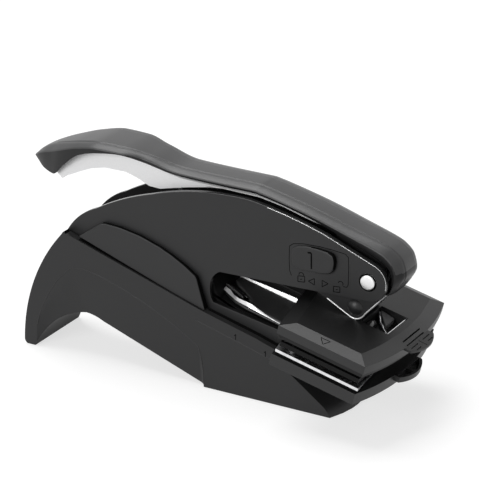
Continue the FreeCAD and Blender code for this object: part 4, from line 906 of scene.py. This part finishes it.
def make_button():
    """The lock button: its rounded face rises from the left to a high right end. It is rings of
    one outline drawn in towards a middle line, each proud of the plate by its share in rim of
    0.55 + 1.15 slope^2. The faces of its high end and its groove are black: painted shade."""
    closed = np.array(BUTTON + BUTTON[:1])
    run = np.concatenate([[0], np.cumsum(np.linalg.norm(np.diff(closed, axis=0), axis=1))])
    where = np.linspace(0, run[-1], 72, endpoint=False)
    edge = np.stack([np.interp(where, run, closed[:, k]) for k in (0, 1)], axis=1)
    edge = (np.roll(edge, 1, axis=0) + 2 * edge + np.roll(edge, -1, axis=0)) / 4
    middle = np.stack([np.clip(edge[:, 0], 35.0, 43.5), np.full(len(edge), 55.0)], axis=1)
    rings = np.array([1.0, 1.0, 0.97, 0.93, 0.86, 0.6, 0.3, 0.0])
    rim = np.array([0.05, 0.55, 0.82, 0.94, 1.0, 0.96, 0.93, 0.92])
    spot = middle[None] + (edge - middle)[None] * rings[:, None, None]
    slope = np.clip((spot[:, :, 0] - 31.0) / 17.0, 0, 1)
    proud = rim[:, None] * (0.55 + 1.15 * slope ** 2)
    spot = np.stack([spot[-1], spot[0], *spot])
    proud = np.concatenate([np.full((2, len(edge)), 0.05), proud])
    points = np.stack([spot[:, :, 0], -(BUTTON_FACE + proud), spot[:, :, 1]], axis=2)
    mesh = solid_mesh("lock_button", points.reshape(-1, 3), grid_faces(*points.shape[:2]))
    add_piece("lock_button", mesh, "lock", "black_plastic", "lock_slider")
    normals = faces_of(mesh)[1]
    paint(mesh, ["groove_shadow"], normals[:, 0] + 0.7 * normals[:, 2] > 0.55)
    strokes("button_groove", [[(38.9, 51.9), (38.8, 57.6)], [(37.4, 57.5), (38.8, 57.7)]],
            side_face(-1.0, BUTTON_FACE + 0.77), 0.28, 0.06, "lock", "groove_shadow")


def arc(x, z, radius, start, end, count=9):
    """Corners along a circle, from one angle to another in degrees."""
    turn = np.radians(np.linspace(start, end, count))
    return [(x + radius * math.cos(a), z + radius * math.sin(a)) for a in turn]


def make_lock_marks():
    """The lock's face, and the outline round the button, two arrows and an open and a shut padlock
    as raised black lines, which paint the shade in their grooves.
    """
    face = side_face(-1.0, PLATE_FACE)
    border = [(30.9, 47.6), (30.2, 49.4), (30.0, 54.0), (30.1, 58.2), (31.6, 59.3), (35.2, 60.0),
              (41.4, 60.25), (46.4, 60.0), (51.2, 59.5), (52.3, 58.6), (52.5, 54.6), (52.4, 48.6),
              (51.9, 47.7), (50.6, 47.7)]
    shut = [[(33.4, 45.9), (36.0, 46.2), (36.0, 48.3), (33.4, 48.0), (33.4, 45.9)],
            arc(34.7, 48.6, 0.9, -10, 190), [(34.3, 46.9), (35.0, 47.1)]]
    opened = [[(46.9, 45.0), (49.3, 45.3), (49.3, 47.3), (46.9, 47.0), (46.9, 45.0)],
              arc(49.6, 48.5, 0.9, -30, 170), [(47.8, 46.0), (48.5, 46.2)]]
    left = [[(37.4, 46.9), (39.7, 48.3), (39.7, 45.9), (37.4, 46.9)]]
    right = [[(42.6, 48.3), (44.9, 47.5), (42.6, 45.9), (42.6, 48.3)]]
    sheet = slab("lock_face", [(28.8, 47.2), (53.2, 47.2), (53.2, 60.6), (28.8, 60.6)],
                 PLATE_FACE - 0.08, PLATE_FACE + 0.03, "frame", "black_plate",
                 place=out_of(-1.0))
    edge_rounding(sheet, 0.03)
    strokes("lock_frame_line", [border], face, 0.13, 0.09, "frame", "groove_shadow")
    strokes("lock_icons", shut + opened + left + right, face, 0.14, 0.10, "frame", "groove_shadow",
            step=0.2)


def make_pivot_pin():
    """The pivot pin turned about its axis, a shank between flat heads with eased rims, and a black
    ring round each head, a painted shadow."""
    half = [(0.0, 11.0), (2.2, 11.0), (2.5, 10.92), (2.6, 10.8), (2.6, 10.2), (3.2, 10.2)]
    radius, out = np.array(half + half[::-1]).T
    across = np.concatenate([-out[:6], out[6:]])
    mesh = turned("pivot_pin_turned", radius, across, 72,
                  lambda x, y, z: np.stack(np.broadcast_arrays(PIVOT[0] + x, y, PIVOT[1] + z),
                                           axis=2))
    add_piece("pivot_pin_turned", mesh, "frame", "spun_nickel", "pivot_pin")
    for name, hand in SIDES:
        strokes(name + "_pin_shadow_ring", [arc(0.0, 0.0, 2.85, 0, 360, 49)],
                side_face(hand, PLATE_FACE, *PIVOT), 0.26, 0.04, "frame", "groove_shadow")


PANEL = [(-52.7, 45.9), (-43.9, 52.1), (-42.0, 52.4), (-36.3, 52.0), (-28.2, 50.5), (-20.1, 47.9),
         (-15.1, 45.7), (-10.2, 43.1), (-5.9, 40.3), (-5.2, 39.4), (-1.5, 28.8), (-1.9, 28.2)]


def make_panels():
    """The two raised panels beside the plates: each face leans in from the base to its top. Their
    edges are black, a painted shadow in the gap round them.
    """
    outline = np.array(PANEL)
    lean = 1.3 * np.clip((outline[:, 1] - base_line(outline[:, 0])) / 13.0, 0, 1)
    for name, hand in SIDES:
        panel = slab(name + "_panel", outline, PLATE_FACE + 0.05, 13.4 - lean, "frame",
                     "black_plastic", name + "_side_panel", place=out_of(hand))
        normals = faces_of(panel.data)[1]
        paint(panel.data, ["groove_shadow"], np.abs(normals[:, 1]) < 0.6)
        edge_rounding(panel, 0.3, limit=24, finish=0)


CREASE = [(-70.9, 8.6), (-69.1, 14.3), (-65.6, 21.6), (-61.4, 28.0), (-55.7, 33.7), (-49.4, 34.1),
          (-43.0, 32.8), (-33.5, 29.8), (-24.5, 26.3), (-15.9, 22.2), (-9.4, 18.7), (-3.5, 15.0),
          (-2.4, 11.0), (-1.6, 6.0), (-1.4, 1.0)]
BAND = [(-4.7, 24.7), (3.3, 22.6), (13.2, 19.9), (24.5, 16.7), (31.0, 14.6)]


def make_arm_edges():
    """The bare edges of the press arm: thin lines along the lower outline of its two flanges."""
    foot = arc(53.75, 39.74, 4.0, -119, -26, 12)
    line = [(43.2, 40.97), (46.0, 39.45), *foot, (61.4, 42.4), (65.4, 46.7)]
    for name, hand in SIDES:
        strokes(name + "_arm_edge", [line], side_face(hand, ARM_FACE), 0.28, 0.22, "press_arm",
                "bare_strip_and_highlight")


def make_plate_edges():
    """A painted highlight on the rim of the two plates where the cover leaves it open: thin bright
    lines along the outline round the nose."""
    nose = arc(*PIVOT, 6.72, 68, -14, 16)
    line = [(21.4, 70.32), (28.7, 68.82), (36.0, 66.98), (43.1, 64.8), *nose]
    for name, hand in SIDES:
        strokes(name + "_plate_edge", [line], side_face(hand, PLATE_FACE), 0.07, 0.04, "frame",
                "bare_strip_and_highlight")


def make_side_marks():
    """The marks on the base's near side and the jaw's border, black as painted shade in their
    grooves; black strips along the plates' joints with the base and the panels, a painted shadow;
    and the creases in the base's sides."""
    marks = [[(x, z - 1.0), (x + 0.1, z + 1.0), (x - 0.5, z + 0.4)]
             for x, z in ((11.4, 21.9), (23.1, 18.2))]
    strokes("base_marks", marks, side_face(-1.0, BASE_FACE), 0.13, 0.10, "frame", "groove_shadow",
            step=0.2)
    slope = math.atan2(1.5, 4.0)
    border = (from_clip(0.0, -CLIP_HALF, 0.0), ALONG,
              math.cos(slope) * ACROSS + math.sin(slope) * RISE,
              -math.sin(slope) * ACROSS + math.cos(slope) * RISE)
    strokes("jaw_mark", [[(14.5, 3.1), (18.1, 3.2), (16.5, 0.9), (14.5, 3.1)]], border, 0.13,
            0.08, "jaw", "groove_shadow", step=0.2)
    for name, hand in SIDES:
        plate = side_face(hand, PLATE_FACE)
        strokes(name + "_plate_shadow_line", [[(-0.9, 28.4), (19.0, 23.25), (30.8, 19.5)]], plate, 0.2,
                1.5, "frame", "groove_shadow", step=2.0)
        strokes(name + "_panel_shadow_line", [[(-52.5, 44.9), (-1.6, 28.7)]], plate, 0.14, 3.1,
                "frame", "groove_shadow", step=2.0)
    for name, hand in (("near", -1.0), ("far", 1.0)):
        strokes(name + "_crease", [CREASE, BAND], side_face(hand, BASE_FACE), 0.22, 0.07, "frame",
                "black_plastic", step=1.0)


# ---------------------------------------------------------------- the machine

set_camera()
set_world(STUDIO_LIGHT)
lay_table()
soft_box("key", (-0.32, -1.20, 0.47), 0.7, 0.5, 7)
soft_box("top", (-0.42, 0.14, 1.30), 1.1, 0.9, 14)
dress_nodes()

make_cover()
softened("base_housing", 0.45, limit=24, reshape=lowered_rim, cuts=(-3.0, 19.0),
         second=["pit_shade"], chosen=arch_faces)
for plate, throat in (("left_frame_plate", deepened), ("right_frame_plate", narrowed_slit)):
    softened(plate, 0.3, reshape=throat, second=["cut_edge", "pit_shade"], chosen=cut_faces)
make_panels()
# The core is near black all over: painted shade.
softened("frame_core", 0.3, reshape=lowered_floor, second=["pit_shade"], chosen=all_faces)
softened("anvil_plate", 0.25)
softened("lock_plate", 0.03)
# The lever's front between the plates' noses takes the dark steel finish: painted shade.
softened("lever_arm", 0.3, limit=35, reshape=drawn_out, cuts=(-23.3, -18.0, -13.3),
         second=["dark_steel"], chosen=covered_faces)
softened("press_arm", 0.3, second=["black_plate"], chosen=all_faces)
softened("press_pin", 0.08, limit=20)
softened("upper_jaw", 0.2, limit=9, reshape=shallow_side, second=["jaw_border_highlight", "pit_shade"],
         chosen=border_faces)
make_backing_rim()
softened("lower_jaw", 0.2, limit=14, second=["jaw_border_highlight", "pit_shade"], chosen=border_faces)
make_coils()
make_tongue()
make_tongue_pad()
make_roll()
make_window()
make_button()
make_lock_marks()
make_pivot_pin()
make_arm_edges()
make_plate_edges()
make_side_marks()
